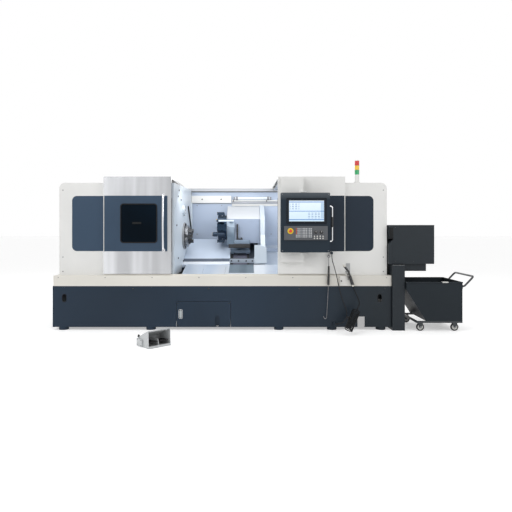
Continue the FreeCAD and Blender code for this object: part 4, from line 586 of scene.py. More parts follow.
def lamp_finish(name):
    """A frosted tube between dark end clamps."""
    x0, x1 = ends("work_lamp", "X")
    f = Finish(name, (0.80, 0.84, 0.86), 0.18, Coat_Weight=0.5)
    clamp = f.either(f.within("X", x0 + 0.028, x0 + 0.062), f.within("X", x1 - 0.062, x1 - 0.028))
    caps = f.either(f.below("X", x0 + 0.02), f.above("X", x1 - 0.02))
    dark = f.either(clamp, caps)
    f.paint(f.mix(dark, f.mottled((0.80, 0.85, 0.90), 0.04, 6.0), (0.26, 0.27, 0.29)))
    f.share("Roughness", dark, 0.15, 0.45)
    return f


def guard_finish(name):
    """Cool white, with a greyer spigot round the chuck."""
    f = Finish(name, colours().cover, 0.36, Coat_Weight=0.1)
    y = f.offset("Y", SPINDLE.y)
    z = f.offset("Z", SPINDLE.z)
    radius = f.distance(y, z)
    spigot = f.calc("LESS_THAN", radius, 0.190)
    pale = f.mix(spigot, f.mottled((0.62, 0.69, 0.76)), (0.30, 0.31, 0.33))
    f.paint(pale)
    f.coat()
    return f


def bed_finish(name):
    """Grey enamel below, a paler coat inside the work area, bare ground steel on top of the ways."""
    f = Finish(name, colours().casting, 0.42)
    across = f.both(f.offset("Y", SPINDLE.y), -math.sin(BED_SLOPE))
    up = f.both(f.offset("Z", SPINDLE.z), math.cos(BED_SLOPE))
    ground = f.calc("GREATER_THAN", f.calc("ADD", across, up), BED_DECK)
    upper = f.above("Z", 0.66)
    coat = f.mix(upper, f.mottled(colours().casting, 0.06, 3.0), f.mottled((0.52, 0.59, 0.69), 0.05, 2.0))
    f.paint(f.mix(ground, coat, (0.66, 0.70, 0.76)))
    f.put("Metallic", f.both(ground, 0.9))
    f.share("Roughness", ground, 0.42, 0.24)
    f.grain(55.0, 4.0, 0.12, 0.002)
    return f


def saddle_finish(name):
    """Black cross ways with the grey-violet folding cover between them, on a dark grey casting."""
    f = Finish(name, (0.10, 0.11, 0.12), 0.38, Specular_IOR_Level=0.25)
    rails = f.either(f.within("X", 0.086, 0.116), f.within("X", 0.314, 0.344))
    cover = f.within("X", 0.118, 0.312)
    casting, fold = f.mottled((0.080, 0.095, 0.120), 0.12, 6.0), f.mottled((0.150, 0.155, 0.200), 0.08, 5.0)
    body = f.mix(cover, casting, fold)
    f.paint(f.mix(rails, body, (0.010, 0.014, 0.022)))
    f.brush("X", 0.06)
    return f


def slide_finish(name):
    """A slate coat with fine grinding lines."""
    f = Finish(name, (0.10, 0.12, 0.14), 0.36, Specular_IOR_Level=0.3)
    f.paint(f.mottled((0.20, 0.26, 0.34), 0.12, 8.0))
    f.brush("X", 0.06)
    return f


def leaf_finish(name):
    """Bright ground sheet, with a dark strip of painted shade where the sheet steps down, and a bright edge
    along its foot.
    """
    f = sheet_steel(name, (0.76, 0.84, 0.94), 0.44, 0.10, "X", 0.04)
    # painted shade: the dark strip stands for the shadow where the sheet steps down
    strip = f.within("Z", 0.800, 0.838)
    edge = f.both(f.below("Z", 0.800), f.above("Z", 0.770))
    sheet = f.mix(edge, f.mottled((0.60, 0.69, 0.82), 0.05, 1.3), (0.80, 0.84, 0.90))
    f.paint(f.mix(strip, sheet, f.mottled((0.11, 0.135, 0.18), 0.15, 6.0)))
    return f


def chute_finish(name):
    """Bright sheet in wide soft upright bands, with a painted dark reflection of the carriage's dark parts in
    a patch under it.
    """
    f = Finish(name, (0.55, 0.60, 0.66), 0.24, 0.35)
    bands = f.range(f.noise(1.0, 1.0, (3.4, 0.3, 0.3)), 0.34, 0.66, 0.0, 1.0)
    sheet = f.mix(bands, (0.56, 0.64, 0.74), (0.86, 0.89, 0.93))
    # painted reflection: the dark parts under the carriage, mirrored in the bright sheet
    painted_reflection = f.both(f.within("X", 0.075, 0.40), f.above("Z", 0.690))
    reflection_streak = f.range(f.noise(1.0, 1.0, (9.0, 0.4, 0.4)), 0.35, 0.65, 0.0, 1.0)
    dark = f.mix(reflection_streak, (0.12, 0.165, 0.20), (0.22, 0.28, 0.33))
    f.paint(f.mix(painted_reflection, sheet, dark))
    f.put("Roughness", 0.36)
    f.brush("X", 0.02)
    return f


def tools_finish(name):
    """Blue-black holders; the bars and inserts' seats that reach out to the left are bright steel."""
    f = Finish(name, (0.03, 0.045, 0.07), 0.30, 0.6)
    bright = f.below("X", low("turret_tools", "X") + 0.006)
    f.paint(f.mix(bright, f.mottled((0.024, 0.042, 0.070), 0.2, 25.0), (0.40, 0.41, 0.43)))
    f.brush("X", 0.06)
    return f


def housing_finish(name):
    """Satin grey, darker towards the bottom, below the turret's centre."""
    f = Finish(name, (0.30, 0.32, 0.34), 0.34, Coat_Weight=0.1)
    lower = f.range(f.axes["Z"], 1.16, 1.27, 1.0, 0.0)
    f.paint(f.mix(lower, f.mottled((0.55, 0.66, 0.78), 0.05), (0.32, 0.42, 0.52)))
    f.grain(70.0, 3.0, 0.08, 0.001)
    return f


def hood_finish(name):
    """White sheet, with painted shade making its front under the fold greyer and cooler."""
    f = Finish(name, colours().cover, 0.33, Coat_Weight=0.15)
    # painted shade: the front under the fold is greyer and cooler, as it is turned away from the light from
    # above
    front = f.both(f.below("Y", low("turret_hood", "Y") + 0.004), f.below("Z", 1.392))
    f.paint(f.mix(front, f.mottled((0.60, 0.63, 0.67)), f.mottled((0.30, 0.36, 0.47), 0.05)))
    f.coat()
    return f


def window_finish(name):
    """Dark laminated glass set back in its rubber frame."""
    (x0, x1), (z0, z1) = ends("door_window", "X"), ends("door_window", "Z")
    f = Finish(name, (0.003, 0.005, 0.007), 0.06, Specular_IOR_Level=0.05)
    m = 0.014
    glass = f.both(f.zone(x0 + m, x1 - m, z0 + m, z1 - m), f.above("Y", DOOR_FACE - 0.0005))
    f.paint(f.mix(glass, (0.010, 0.011, 0.013), f.mottled((0.0015, 0.006, 0.012), 0.3, 2.0)))
    f.share("Roughness", glass, 0.55, 0.12)
    return f


def panel_finish(name):
    """Dark textured coat, paler along its top; the bezel round the screen is smoother and darker."""
    f = Finish(name, (0.024, 0.036, 0.050), 0.42, Specular_IOR_Level=0.15)
    bezel = f.below("Y", low("panel_housing", "Y") + 0.001)
    skin = f.mix(f.range(f.axes["Z"], 1.60, 1.68, 0.0, 1.0), (0.020, 0.031, 0.044), (0.085, 0.100, 0.115))
    f.paint(f.mix(bezel, skin, (0.012, 0.016, 0.022)))
    f.share("Roughness", bezel, 0.42, 0.24)
    f.coat(700.0, 0.06)
    return f


def screen_finish(name):
    """A lit display: a pale ground, blue head, middle and foot lines, rows of small blocks and a side bar."""
    (x0, x1), (z0, z1) = ends("panel_screen", "X"), ends("panel_screen", "Z")
    f = Finish(name, (0.60, 0.72, 0.82), 0.10, Coat_Weight=0.6, Coat_Roughness=0.05)
    u = f.calc("DIVIDE", f.offset("X", x0), x1 - x0)
    v = f.calc("DIVIDE", f.offset("Z", z0), z1 - z0)

    def span(value, a, b):
        return f.both(f.calc("GREATER_THAN", value, a), f.calc("LESS_THAN", value, b))

    line = f.either(f.either(span(v, 0.90, 0.94), span(v, 0.475, 0.505)), span(v, 0.075, 0.115))
    cell = f.both(
        f.calc("LESS_THAN", f.calc("FRACT", f.both(u, 11.0)), 0.62),
        f.calc("LESS_THAN", f.calc("FRACT", f.both(v, 13.0)), 0.42),
    )
    field = f.either(
        f.both(span(u, 0.04, 0.30), span(v, 0.56, 0.86)), f.both(span(u, 0.52, 0.93), span(v, 0.16, 0.44)),
    )
    blocks = f.both(cell, field)
    side = f.both(span(u, 0.90, 0.985), span(v, 0.14, 0.88))
    ground = f.mix(f.range(v, 0.0, 1.0, 0.0, 1.0), (0.56, 0.71, 0.84), (0.70, 0.80, 0.88))
    shown = f.mix(blocks, ground, (0.20, 0.32, 0.50))
    shown = f.mix(side, shown, (0.40, 0.55, 0.70))
    shown = f.mix(line, shown, (0.08, 0.22, 0.52))
    edge = f.either(f.either(f.calc("LESS_THAN", u, 0.012), f.calc("GREATER_THAN", u, 0.988)),
                    f.either(f.calc("LESS_THAN", v, 0.016), f.calc("GREATER_THAN", v, 0.984)))
    shown = f.mix(edge, shown, (0.01, 0.012, 0.016))
    f.paint(shown)
    f.put("Emission Color", shown)
    f.put("Emission Strength", 0.30)
    return f


def plate_finish(name):
    """Grey plate, yellow collar under the stop, pale keys with some grey, and red ones at the left."""
    f = Finish(name, (0.13, 0.135, 0.145), 0.42)
    x = f.offset("X", halfway("stop_button", "X"))
    z = f.offset("Z", halfway("stop_button", "Z"))
    collar = f.both(f.calc("LESS_THAN", f.square_sum(x, z), 0.0356**2), f.below("Y", PLATE_FACE - 0.001))
    key_top = f.below("Y", low("control_plate", "Y") + 0.0012)
    keys = f.both(key_top, f.within("X", 0.88, 1.10))
    left_keys = f.both(keys, f.both(f.below("X", 0.910), f.above("Z", 1.19)))
    dark_keys = f.both(keys, f.either(f.within("X", 0.948, 0.968), f.within("X", 1.026, 1.046)))
    body = f.mix(keys, f.mottled((0.085, 0.092, 0.102), 0.06, 8.0), (0.50, 0.52, 0.54))
    body = f.mix(dark_keys, body, (0.30, 0.32, 0.35))
    body = f.mix(left_keys, body, (0.52, 0.10, 0.08))
    f.paint(f.mix(collar, body, (0.86, 0.62, 0.02)))
    f.share("Roughness", keys, 0.45, 0.30)
    f.grain(1400.0, 1.0, 0.06, 0.0002)
    return f


def stop_finish(name):
    f = Finish(name, colours().red, 0.22, Coat_Weight=0.4, Coat_Roughness=0.1)
    stem = f.above("Y", PLATE_FACE - 0.0085)
    f.paint(f.mix(stem, f.mottled((0.74, 0.045, 0.015), 0.05, 20.0), (0.05, 0.05, 0.05)))
    return f


def knob_finish(name, node):
    """Black fluted knob with a pale pointer line."""
    f = Finish(name, (0.018, 0.018, 0.020), 0.40)
    x, half = halfway(node, "X"), 0.0019
    pointer = f.both(f.within("X", x - half, x + half), f.below("Y", low(node, "Y") + 0.0012))
    f.paint(f.mix(pointer, f.mottled((0.018, 0.018, 0.020), 0.2, 60.0), (0.75, 0.75, 0.75)))
    f.grain(1600.0, 1.0, 0.08, 0.0002)
    return f


def lens_finish(name):
    """Three stacked lenses: green, amber and red from below, with fine upright flutes."""
    c = colours()
    z0, z1 = ends("tower_lenses", "Z")
    step = (z1 - z0) / 3
    f = Finish(name, c.red, 0.16, Coat_Weight=0.3, IOR=1.49)
    f.put("Transmission Weight", 0.12)
    upper = f.above("Z", z0 + 2 * step)
    middle = f.above("Z", z0 + step)
    shown = f.mix(upper, f.mix(middle, c.green, c.amber), c.red)
    f.paint(shown)
    x = f.offset("X", halfway("tower_lenses", "X"))
    y = f.offset("Y", halfway("tower_lenses", "Y"))
    f.bump(f.calc("SINE", f.both(f.calc("ARCTAN2", y, x), 48.0)), 0.25, 0.0006)
    return f


def tank_finish(name):
    """The navy coat of the base outside and grey inside, with a pale sight glass."""
    c = colours()
    f = Finish(name, c.navy, 0.34, Specular_IOR_Level=0.18)
    glass = f.both(f.zone(*SIGHT_GLASS), f.within("Y", -0.9485, -0.93))
    inside = f.above("Y", -0.925)
    coat = f.mix(inside, f.mottled(c.navy, 0.10, 1.2), (0.30, 0.31, 0.32))
    f.paint(f.mix(glass, coat, f.mottled((0.50, 0.54, 0.55), 0.10, 20.0)))
    f.coat()
    return f


def hook_finish(name):
    """Dark plated wire with a moulded black grip."""
    f = Finish(name, (0.16, 0.165, 0.17), 0.30, 0.85)
    grip = f.within("Z", 0.56, 0.795)
    f.paint(f.mix(grip, f.mottled((0.20, 0.20, 0.21), 0.15, 40.0), (0.014, 0.014, 0.015)))
    f.share("Metallic", grip, 0.85, 0.0)
    f.share("Roughness", grip, 0.30, 0.50)
    return f


def bracket_finish(name):
    """Grey holder plate, and a paler valve box with a dark tap."""
    f = Finish(name, (0.50, 0.51, 0.50), 0.38)
    valve = f.both(f.below("Z", 0.68), f.above("Z", 0.54))
    tap = f.both(valve, f.below("Y", -0.977))
    port = f.below("Z", 0.20)
    pale = f.mix(valve, f.mottled((0.40, 0.41, 0.42), 0.05, 8.0), f.mottled((0.72, 0.71, 0.68), 0.04, 5.0))
    f.paint(f.mix(f.either(tap, port), pale, (0.04, 0.04, 0.045)))
    f.coat()
    return f


def gun_finish(name):
    """Black moulded grip; the nozzle's tip and the tail's union are bright."""
    f = Finish(name, (0.02, 0.02, 0.022), 0.38)
    bright = f.either(f.above("Z", 0.7885), f.below("Z", 0.5665))
    f.paint(f.mix(bright, f.mottled((0.020, 0.020, 0.022), 0.15, 40.0), (0.55, 0.53, 0.48)))
    f.put("Metallic", f.both(bright, 0.9))
    f.grain(900.0, 1.5, 0.10, 0.0003)
    return f


def switch_finish(name):
    """Hammered grey enamel."""
    f = Finish(name, (0.50, 0.52, 0.53), 0.33, Coat_Weight=0.35, Coat_Roughness=0.15)
    cells = f.nodes.new("ShaderNodeTexVoronoi")
    cells.inputs["Scale"].default_value = 190.0
    f.links.new(f.object_place, cells.inputs["Vector"])
    f.paint(f.mottled((0.56, 0.58, 0.59), 0.08, 60.0))
    f.bump(cells.outputs[0], 0.35, 0.0012)
    return f


def frame_finish(name):
    """The cart's charcoal tube; its push handle and axles are a dark metal."""
    f = Finish(name, colours().charcoal, 0.36, Coat_Weight=0.1)
    handle = f.above("X", high("cart_hopper", "X") + 0.012)
    axle = f.below("Z", 0.055)
    bright = f.either(handle, axle)
    f.paint(f.mix(bright, f.mottled(colours().charcoal, 0.08, 6.0), (0.045, 0.048, 0.052)))
    f.put("Metallic", f.both(bright, 0.3))
    return f


def wheel_finish(name, node):
    """A dark tread round a pale dished hub."""
    f = Finish(name, (0.02, 0.02, 0.02), 0.45)
    a, b = f.offset("X", halfway(node, "X")), f.offset("Z", halfway(node, "Z"))
    hub = f.calc("LESS_THAN", f.distance(a, b), 0.032)
    tread, dish = f.mottled((0.022, 0.022, 0.024), 0.2, 50.0), f.mottled((0.62, 0.62, 0.60), 0.06, 30.0)
    f.paint(f.mix(hub, tread, dish))
    f.grain(700.0, 2.0, 0.08, 0.0003)
    return f


FINISHES = {
    "cover white": lambda name: banded(name, COVER_BAND_FACE),
    "apron white": apron_finish,
    "base navy": base_finish,
    "polished door": polished_door,
    "pale door": lambda name: banded(name, BAND_FACE),
    "white coat": lambda name: powder_coat(name, colours().cover),
    "cool white": lambda name: powder_coat(name, (0.61, 0.68, 0.75)),
    "work area sheet": enclosure_finish,
    "lamp tube": lamp_finish,
    "guard white": guard_finish,
    "bright chute": chute_finish,
    "bed enamel": bed_finish,
    "casting enamel": enamel_casting,
    "turned chuck": lambda name: turned_steel(name, (0.34, 0.35, 0.37), 0.27, (SPINDLE.y, SPINDLE.z)),
    "black jaw": lambda name: sheet_steel(name, (0.060, 0.063, 0.068), 0.32, 0.6, "Y", 0.2),
    "saddle dark": saddle_finish,
    "slide slate": slide_finish,
    "housing grey": housing_finish,
    "hood white": hood_finish,
    "turret dark": lambda name: turned_steel(name, (0.022, 0.040, 0.068), 0.32, (TURRET.y, TURRET.z), 420.0),
    "holder dark": tools_finish,
    "way leaf": leaf_finish,
    "quill steel": lambda name: turned_steel(name, (0.42, 0.43, 0.44), 0.2, (SPINDLE.y, SPINDLE.z)),
    "window glass": window_finish,
    "chrome": chrome,
    "panel coat": panel_finish,
    "display": screen_finish,
    "control plate": plate_finish,
    "stop red": stop_finish,
    "feed knob": lambda name: knob_finish(name, "feed_knob"),
    "speed knob": lambda name: knob_finish(name, "speed_knob"),
    "signal lenses": lens_finish,
    "tank navy": tank_finish,
    "hook": hook_finish,
    "holder grey": bracket_finish,
    "gun black": gun_finish,
    "hose rubber": lambda name: rubber(name, (0.006, 0.007, 0.008), 0.5),
    "cable sheath": lambda name: rubber(name, (0.020, 0.020, 0.022), 0.42),
    "hammered grey": switch_finish,
    "pedal black": lambda name: rubber(name, (0.016, 0.016, 0.018), 0.45),
    "conveyor charcoal": lambda name: powder_coat(name, colours().charcoal, 0.40, 0.2),
    "cart charcoal": lambda name: powder_coat(name, colours().charcoal, 0.42, 0.10),
    "cart frame": frame_finish,
    "plated screw": lambda name: sheet_steel(name, (0.22, 0.225, 0.235), 0.30, 0.8, "X", 0.1),
    "dark screw": lambda name: sheet_steel(name, (0.035, 0.038, 0.042), 0.36, 0.5, "X", 0.2),
    "seal rubber": lambda name: rubber(name, (0.018, 0.018, 0.020), 0.60),
    "trim steel": lambda name: sheet_steel(name, (0.50, 0.51, 0.52), 0.26, 0.85, "Z", 0.06),
    "pale plastic": lambda name: moulded(name, (0.62, 0.62, 0.60)),
    "black plastic": lambda name: moulded(name, (0.022, 0.022, 0.024)),
    "grey plastic": lambda name: moulded(name, (0.20, 0.205, 0.21)),
    "grey sheet": lambda name: sheet_steel(name, (0.36, 0.38, 0.42), 0.34, 0.3, "X", 0.06),
    "cross cover": lambda name: sheet_steel(name, (0.15, 0.155, 0.205), 0.34, 0.25, "X", 0.10),
    "pale casting": lambda name: sheet_steel(name, (0.34, 0.39, 0.46), 0.36, 0.2, "X", 0.08),
    "brass": lambda name: sheet_steel(name, (0.62, 0.46, 0.20), 0.25, 0.95, "X", 0.08),
}

NODE_FINISH = {
    "base_skirt": "base navy", "apron": "apron white",
    "left_cover": "cover white", "right_cover": "cover white",
    "rear_enclosure": "work area sheet", "work_lamp": "lamp tube", "spindle_guard": "guard white",
    "chute_panels": "bright chute", "electrical_cabinet": "white coat", "bed_casting": "bed enamel",
    "headstock": "casting enamel", "chuck_body": "turned chuck", "saddle": "saddle dark",
    "cross_slide": "slide slate", "turret_housing": "housing grey", "turret_hood": "hood white",
    "carriage_shield": "cool white", "turret_disc": "turret dark", "turret_tools": "holder dark",
    "way_leaf_fixed": "way leaf", "way_leaf_middle": "way leaf", "way_leaf_carriage": "way leaf",
    "tailstock": "casting enamel", "tailstock_quill": "quill steel", "left_door": "polished door",
    "door_window": "window glass", "door_handle": "chrome", "right_door": "pale door",
    "panel_column": "white coat", "panel_housing": "panel coat", "panel_screen": "display",
    "control_plate": "control plate", "stop_button": "stop red", "feed_knob": "feed knob",
    "speed_knob": "speed knob", "panel_handle": "chrome", "tower_post": "white coat",
    "tower_lenses": "signal lenses", "coolant_tank": "tank navy", "chip_hook": "hook",
    "gun_bracket": "holder grey", "gun_body": "gun black", "gun_trigger": "gun black",
    "gun_hose": "hose rubber", "gun_coil": "hose rubber", "panel_cable": "cable sheath",
    "foot_switch_body": "hammered grey", "foot_pedal_left": "pedal black", "foot_pedal_right": "pedal black",
    "conveyor_body": "conveyor charcoal", "conveyor_head": "conveyor charcoal",
    "cart_hopper": "cart charcoal", "cart_frame": "cart frame",
}


def finish(name):
    """The material of that name, made the first time it is asked for."""
    return bpy.data.materials.get(name) or FINISHES[name](name).material


# ---- routes of the cords ----------------------------------------------------------------------------
CABLE_ROUTE = (
    (1.354, -0.992, 0.942), (1.354, -0.992, 0.882), (1.382, -0.994, 0.789), (1.412, -0.998, 0.677),
    (1.437, -1.001, 0.557), (1.462, -1.002, 0.447), (1.500, -1.000, 0.337), (1.540, -0.997, 0.242),
    (1.534, -0.994, 0.149), (1.478, -0.992, 0.083), (1.392, -0.992, 0.083),
)
HOSE_LOWER = ((1.560, -0.966, 0.157), (1.560, -1.030, 0.157), (1.554, -1.100, 0.123), (1.538, -1.155, 0.061))
HOSE_UPPER = (
    (1.676, -1.062, 0.321), (1.684, -1.036, 0.363), (1.660, -1.008, 0.435),
    (1.6313, -1.000, 0.4905), (1.6139, -1.000, 0.5474),
)
COIL_TOP, COIL_FOOT = Vector((1.650, -1.070, 0.287)), Vector((1.502, -1.250, 0.062))
TURN_POINTS = 14


def coil_points(top, foot, radius, turns, points):
    """Points up a coil, from its foot to its top: middle + reach*(cos t, sin t) square to its axis. It starts
    just past its lowest side. Over the last half turn the reach shrinks to nothing while the pitch opens."""
    u, v, _ = basis(foot - top)
    s = np.linspace(0, 1, turns * points + 1)
    t = math.atan2(-v[2], -u[2]) + 0.8 + 2 * math.pi * turns * s
    tail = np.clip((1 - s) * turns * 2, 0, 1)
    along = np.cumsum(6.0 - 5.0 * tail)
    along = (along - along[0]) / (along[-1] - along[0])
    reach = radius * np.sin(tail * math.pi / 2)
    middle = np.array(foot) + along[:, None] * np.array(top - foot)
    return middle + reach[:, None] * (np.cos(t)[:, None] * u + np.sin(t)[:, None] * v)


def spline_curve(name, route, diameter):
    """A curve object of one open spline with the route's points as its control points."""
    curve = bpy.data.curves.new(name, "CURVE")
    curve.dimensions = "3D"
    spline = curve.splines.new("NURBS")
    spline.points.add(len(route) - 1)
    spline.points.foreach_set("co", np.column_stack([np.asarray(route), np.ones(len(route))]).ravel())
    spline.order_u = 3
    spline.use_endpoint_u = True
    spline.resolution_u = 8
    curve.bevel_depth = diameter / 2
    curve.bevel_resolution = 4
    curve.use_fill_caps = True
    cord = bpy.data.objects.new(name, curve)
    bpy.context.scene.collection.objects.link(cord)
    return cord


def centre_line(route, steps=8):
    """Points along the route's own spline, read from its mesh with no thickness."""
    bare = spline_curve("bare_line", route, 0.0)
    bare.data.resolution_u = steps
    mesh = bpy.data.meshes.new_from_object(bare)
    line = np.empty(len(mesh.vertices) * 3)
    mesh.vertices.foreach_get("co", line)
    bpy.data.objects.remove(bare)
    bpy.data.meshes.remove(mesh)
    return line.reshape(-1, 3)


def run_length(points):
    return float(np.linalg.norm(np.diff(np.asarray(points), axis=0), axis=1).sum())


class Piece(bpy.types.Operator):
    """Base of the operators: their pieces are made in execute."""

    bl_options = {"REGISTER", "UNDO"}

    def make(self):
        raise NotImplementedError

    def execute(self, context):
        self.make()
        return {"FINISHED"}


class LATHE_OT_cords(Piece):
    """Makes the wash gun's hose with its coil, and the panel's cable"""

    bl_idname = "lathe.cords"
    bl_label = "Cords"

    def make(self):
        wide = sizes().hose
        coil = coil_points(COIL_TOP, COIL_FOOT, sizes().coil_radius, sizes().coil_turns, TURN_POINTS)
        route = [*HOSE_LOWER, *coil.tolist(), *HOSE_UPPER]
        hose = spline_curve("gun_hose_line", route, wide)
        hose.data.materials.append(finish("hose rubber"))
        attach(hose, "root")
        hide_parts("gun_hose", "gun_coil")
        run_length(centre_line(route))
        line = centre_line(CABLE_ROUTE, 12)
        wide = sizes().cable
        form = swept(line, circle(wide / 2), helper=BACK)
        tube = build("panel_cable_line", form, "cable sheath", None)
        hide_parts("panel_cable")
        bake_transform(tube)


class LATHE_OT_finishes(Piece):
    """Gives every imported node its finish"""

    bl_idname = "lathe.finishes"
    bl_label = "Finishes of the nodes"

    def make(self):
        for node, thing in NODES.items():
            if node.startswith("chuck_jaw"):
                material = finish("black jaw")
            elif node.startswith("cart_wheel"):
                place = node.removeprefix("cart_wheel_").replace("_", " ")
                material = wheel_finish("wheel " + place, node).material
            else:
                material = finish(NODE_FINISH[node])
            thing.data.materials.clear()
            thing.data.materials.append(material)


# ---- screws, seals and seams --------------------------------------------------------------------------
def grid(xs, ys, zs):
    """Every place with one of these x, one of these y and one of these z, each a number or several."""
    return [(x, y, z) for x in np.atleast_1d(xs) for y in np.atleast_1d(ys) for z in np.atleast_1d(zs)]


def course(x, y, z):
    """The points (x, y, z) of a path, each a number or an array along it."""
    return np.stack(np.broadcast_arrays(x, y, z), axis=-1)


def ring_path(x0, x1, z0, z1, y, radius, steps=6):
    """The outline of a rectangle that faces the front, its corners rounded by quarter circles."""
    t = np.linspace(0, math.pi / 2, steps + 1)
    xs, zs = (x0 + radius, x1 - radius), (z0 + radius, z1 - radius)
    path = []
    for quarter, (cx, cz) in enumerate(((xs[1], zs[1]), (xs[0], zs[1]), (xs[0], zs[0]), (xs[1], zs[0]))):
        a = t + quarter * math.pi / 2
        path.append(course(cx + radius * np.cos(a), y, cz + radius * np.sin(a)))
    return np.concatenate(path)


def rim(x0, x1, z0, z1, y, radius, thick, sides=8):
    """A round bead along such an outline."""
    return swept(ring_path(x0, x1, z0, z1, y, radius), circle(thick, sides), closed_path=True, helper=BACK)


def strip(x0, x1, z0, z1, y0, y1, radius=0.0015):
    """A thin soft-edged bar between two corners."""
    return soft_block((x0, y0, z0), (x1, y1, z1), radius)


class LATHE_OT_screws(Piece):
    """Makes the screws of the base, apron, covers and rear wall"""

    bl_idname = "lathe.screws"
    bl_label = "Screws"

    def make(self):
        r = sizes().screw
        base = grid((-1.104, -0.167, 0.958, 2.019), BASE_FRONT, BASE_TOP - 0.031)
        apron = grid(np.linspace(-2.03, 2.04, 8), BASE_FRONT, BASE_TOP + 0.105)
        covers = grid((-2.00, 2.02), COVER_FACE, (0.72, 0.90, 1.74))
        wall = grid(np.linspace(-0.44, 1.42, 6), WALL_FACE, (1.17, 1.60))
        for name, places, radius, skin, slot in (
            ("base_screws", base, r, "dark screw", "base_navy"),
            ("apron_screws", apron, r * 0.6, "plated screw", "apron_white"),
            ("cover_screws", covers, r * 0.7, "plated screw", "cover_white"),
            ("wall_screws", wall, r * 0.7, "plated screw", "wall_steel"),
        ):
            build(name, screws(places, FRONT, radius), skin, "root")


class LATHE_OT_seals(Piece):
    """Makes the doors' rubber seals and pale outer edges, the window's bead and the slot in its glass"""

    bl_idname = "lathe.seals"
    bl_label = "Seals"

    def make(self):
        r = sizes().seal
        proud, edge = 0.0025, 0.010
        left, right = ends("left_door", "X"), ends("right_door", "X")
        for body, x in (("left_door", left[1] + proud - r), ("right_door", right[0] - proud + r)):
            path = course(x, DOOR_FACE + 0.012, np.linspace(BAND_LOW - 0.01, BAND_HIGH - 0.03, 24))
            build(f"{body}_seal", swept(path, circle(r), helper=BACK), "seal rubber", body)
        (x0, x1), (z0, z1) = ends("door_window", "X"), ends("door_window", "Z")
        y, inset = low("door_window", "Y"), 0.007
        slot = strip(-1.116, -1.004, 1.314, 1.339, y - 0.0012, y + 0.001, 0.0005)
        build("window_slot", slot, "hose rubber", "left_door")
        for body, x in (("left_door", left[0]), ("right_door", right[1] - edge)):
            bright = strip(x, x + edge, BAND_LOW, BAND_HIGH, BAND_FACE - 0.0012, BAND_FACE + 0.003, 0.0005)
            build(f"{body}_edge", bright, "pale plastic", body)
        bead = rim(x0 + inset, x1 - inset, z0 + inset, z1 - inset, y + 0.001, 0.034, 0.005, 10)
        build("window_bead", bead, "seal rubber", "left_door")


def guard_x(y):
    """Where the guard's face stands at a depth: it leans back towards the rear wall."""
    return -0.606 + (y + 0.875) * GUARD_LEAN


class LATHE_OT_guard(Piece):
    """Makes the guard's bolts, its boss's ring and a dark arc of painted shade along its rim, its hose and
    knuckle, and the chuck's collar
    """

    bl_idname = "lathe.guard"
    bl_label = "Guard details"

    def make(self):
        bolts = (
            (-0.63, 1.677), (-0.45, 1.640), (-0.57, 1.760), (-0.03, 1.205), (-0.63, 0.872), (-0.31, 0.812),
            (-0.72, 1.30),
        )  # fmt: skip
        heads = [(guard_x(y) - 0.0005, y, z) for y, z in bolts]
        out = (1.0, -0.072, 0.0)  # square to the guard's face
        build("guard_bolts", screws(heads, out, 0.012), "dark screw", "root")
        y, z = GUARD_BOSS
        place = (guard_x(y) + 0.025, y, z)
        hub = [(0, 0.006), (0.012, 0.006), (0.015, 0.003), (0.015, 0), (0, 0)]
        boss = [ring(place, RIGHT, 0.050, 0.058, 0.004), turned(hub, place, RIGHT, 20)]
        build("guard_boss_ring", boss, "trim steel", "root")
        # painted shade: a dark rubber arc along the boss's rim, on the side where the rim is in shade
        t, reach = np.linspace(-1.15, 1.0, 20), 0.077
        rim_shade_path = course(guard_x(y) + 0.010, y + reach * np.cos(t), z + reach * np.sin(t))
        seal = swept(rim_shade_path, circle(0.007, 10), helper=RIGHT)
        build("guard_boss_rim_shade", seal, "seal rubber", "root")
        y = np.linspace(0.03, 0.285, 22)
        seam = course(guard_x(y) + 0.006, y, 1.575 - (y - y[0]) * 1.45)
        build("guard_hose", swept(seam, circle(0.010, 12)), "seal rubber", "root")
        pin = [(0, -0.035), (0.014, -0.034), (0.017, -0.028), (0.017, 0.028), (0.014, 0.034), (0, 0.035)]
        knuckle = turned(pin, (guard_x(0.27) + 0.014, 0.27, 1.190), (0.0, 0.35, 1.0), 20)
        build("guard_knuckle", knuckle, "black plastic", "root")
        collar = ring((guard_x(SPINDLE.y) + 0.013, SPINDLE.y, SPINDLE.z), RIGHT, 0.160, 0.176, 0.005, 56)
        build("chuck_collar", collar, "seal rubber", "root")


def around(axis_place, x, radius, angles):
    """Places at a radius round an axis along X, at angles from the back upwards."""
    return [(x, axis_place.y + radius * math.cos(a), axis_place.z + radius * math.sin(a)) for a in angles]


class LATHE_OT_chuck(Piece):
    """Makes the chuck's face rings and screws, and the jaws' serrated steps"""

    bl_idname = "lathe.chuck"
    bl_label = "Chuck details"

    def make(self):
        face = SPINDLE.x - 0.0006
        centre = (face, SPINDLE.y, SPINDLE.z)
        lines = [ring(centre, RIGHT, r, r + 0.0018, 0.0012, 64) for r in (0.060, 0.104, 0.138)]
        build("chuck_rings", lines, "dark screw", "spindle")
        heads = around(SPINDLE, face, 0.122, np.radians((90, 150, 210, 270, 330, 30)))
        build("chuck_screws", screws(heads, RIGHT, 0.0075), "dark screw", "spindle")
        for k in (1, 2, 3):
            lower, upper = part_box(f"chuck_jaw_{k}")
            middle = (lower + upper) / 2
            out = Vector((0, middle.y - SPINDLE.y, middle.z - SPINDLE.z)).normalized()
            across = Vector(RIGHT).cross(out) * 0.015
            start = Vector((upper.x - 0.0004, SPINDLE.y, SPINDLE.z))
            teeth = []
            for i in range(5):
                place = start + out * (0.062 + 0.011 * i)
                path = [place - across, place, place + across]
                teeth.append(swept(path, circle(0.0014, 6), helper=RIGHT))
            build(f"jaw_teeth_{k}", teeth, "plated screw", f"jaw_{k}")


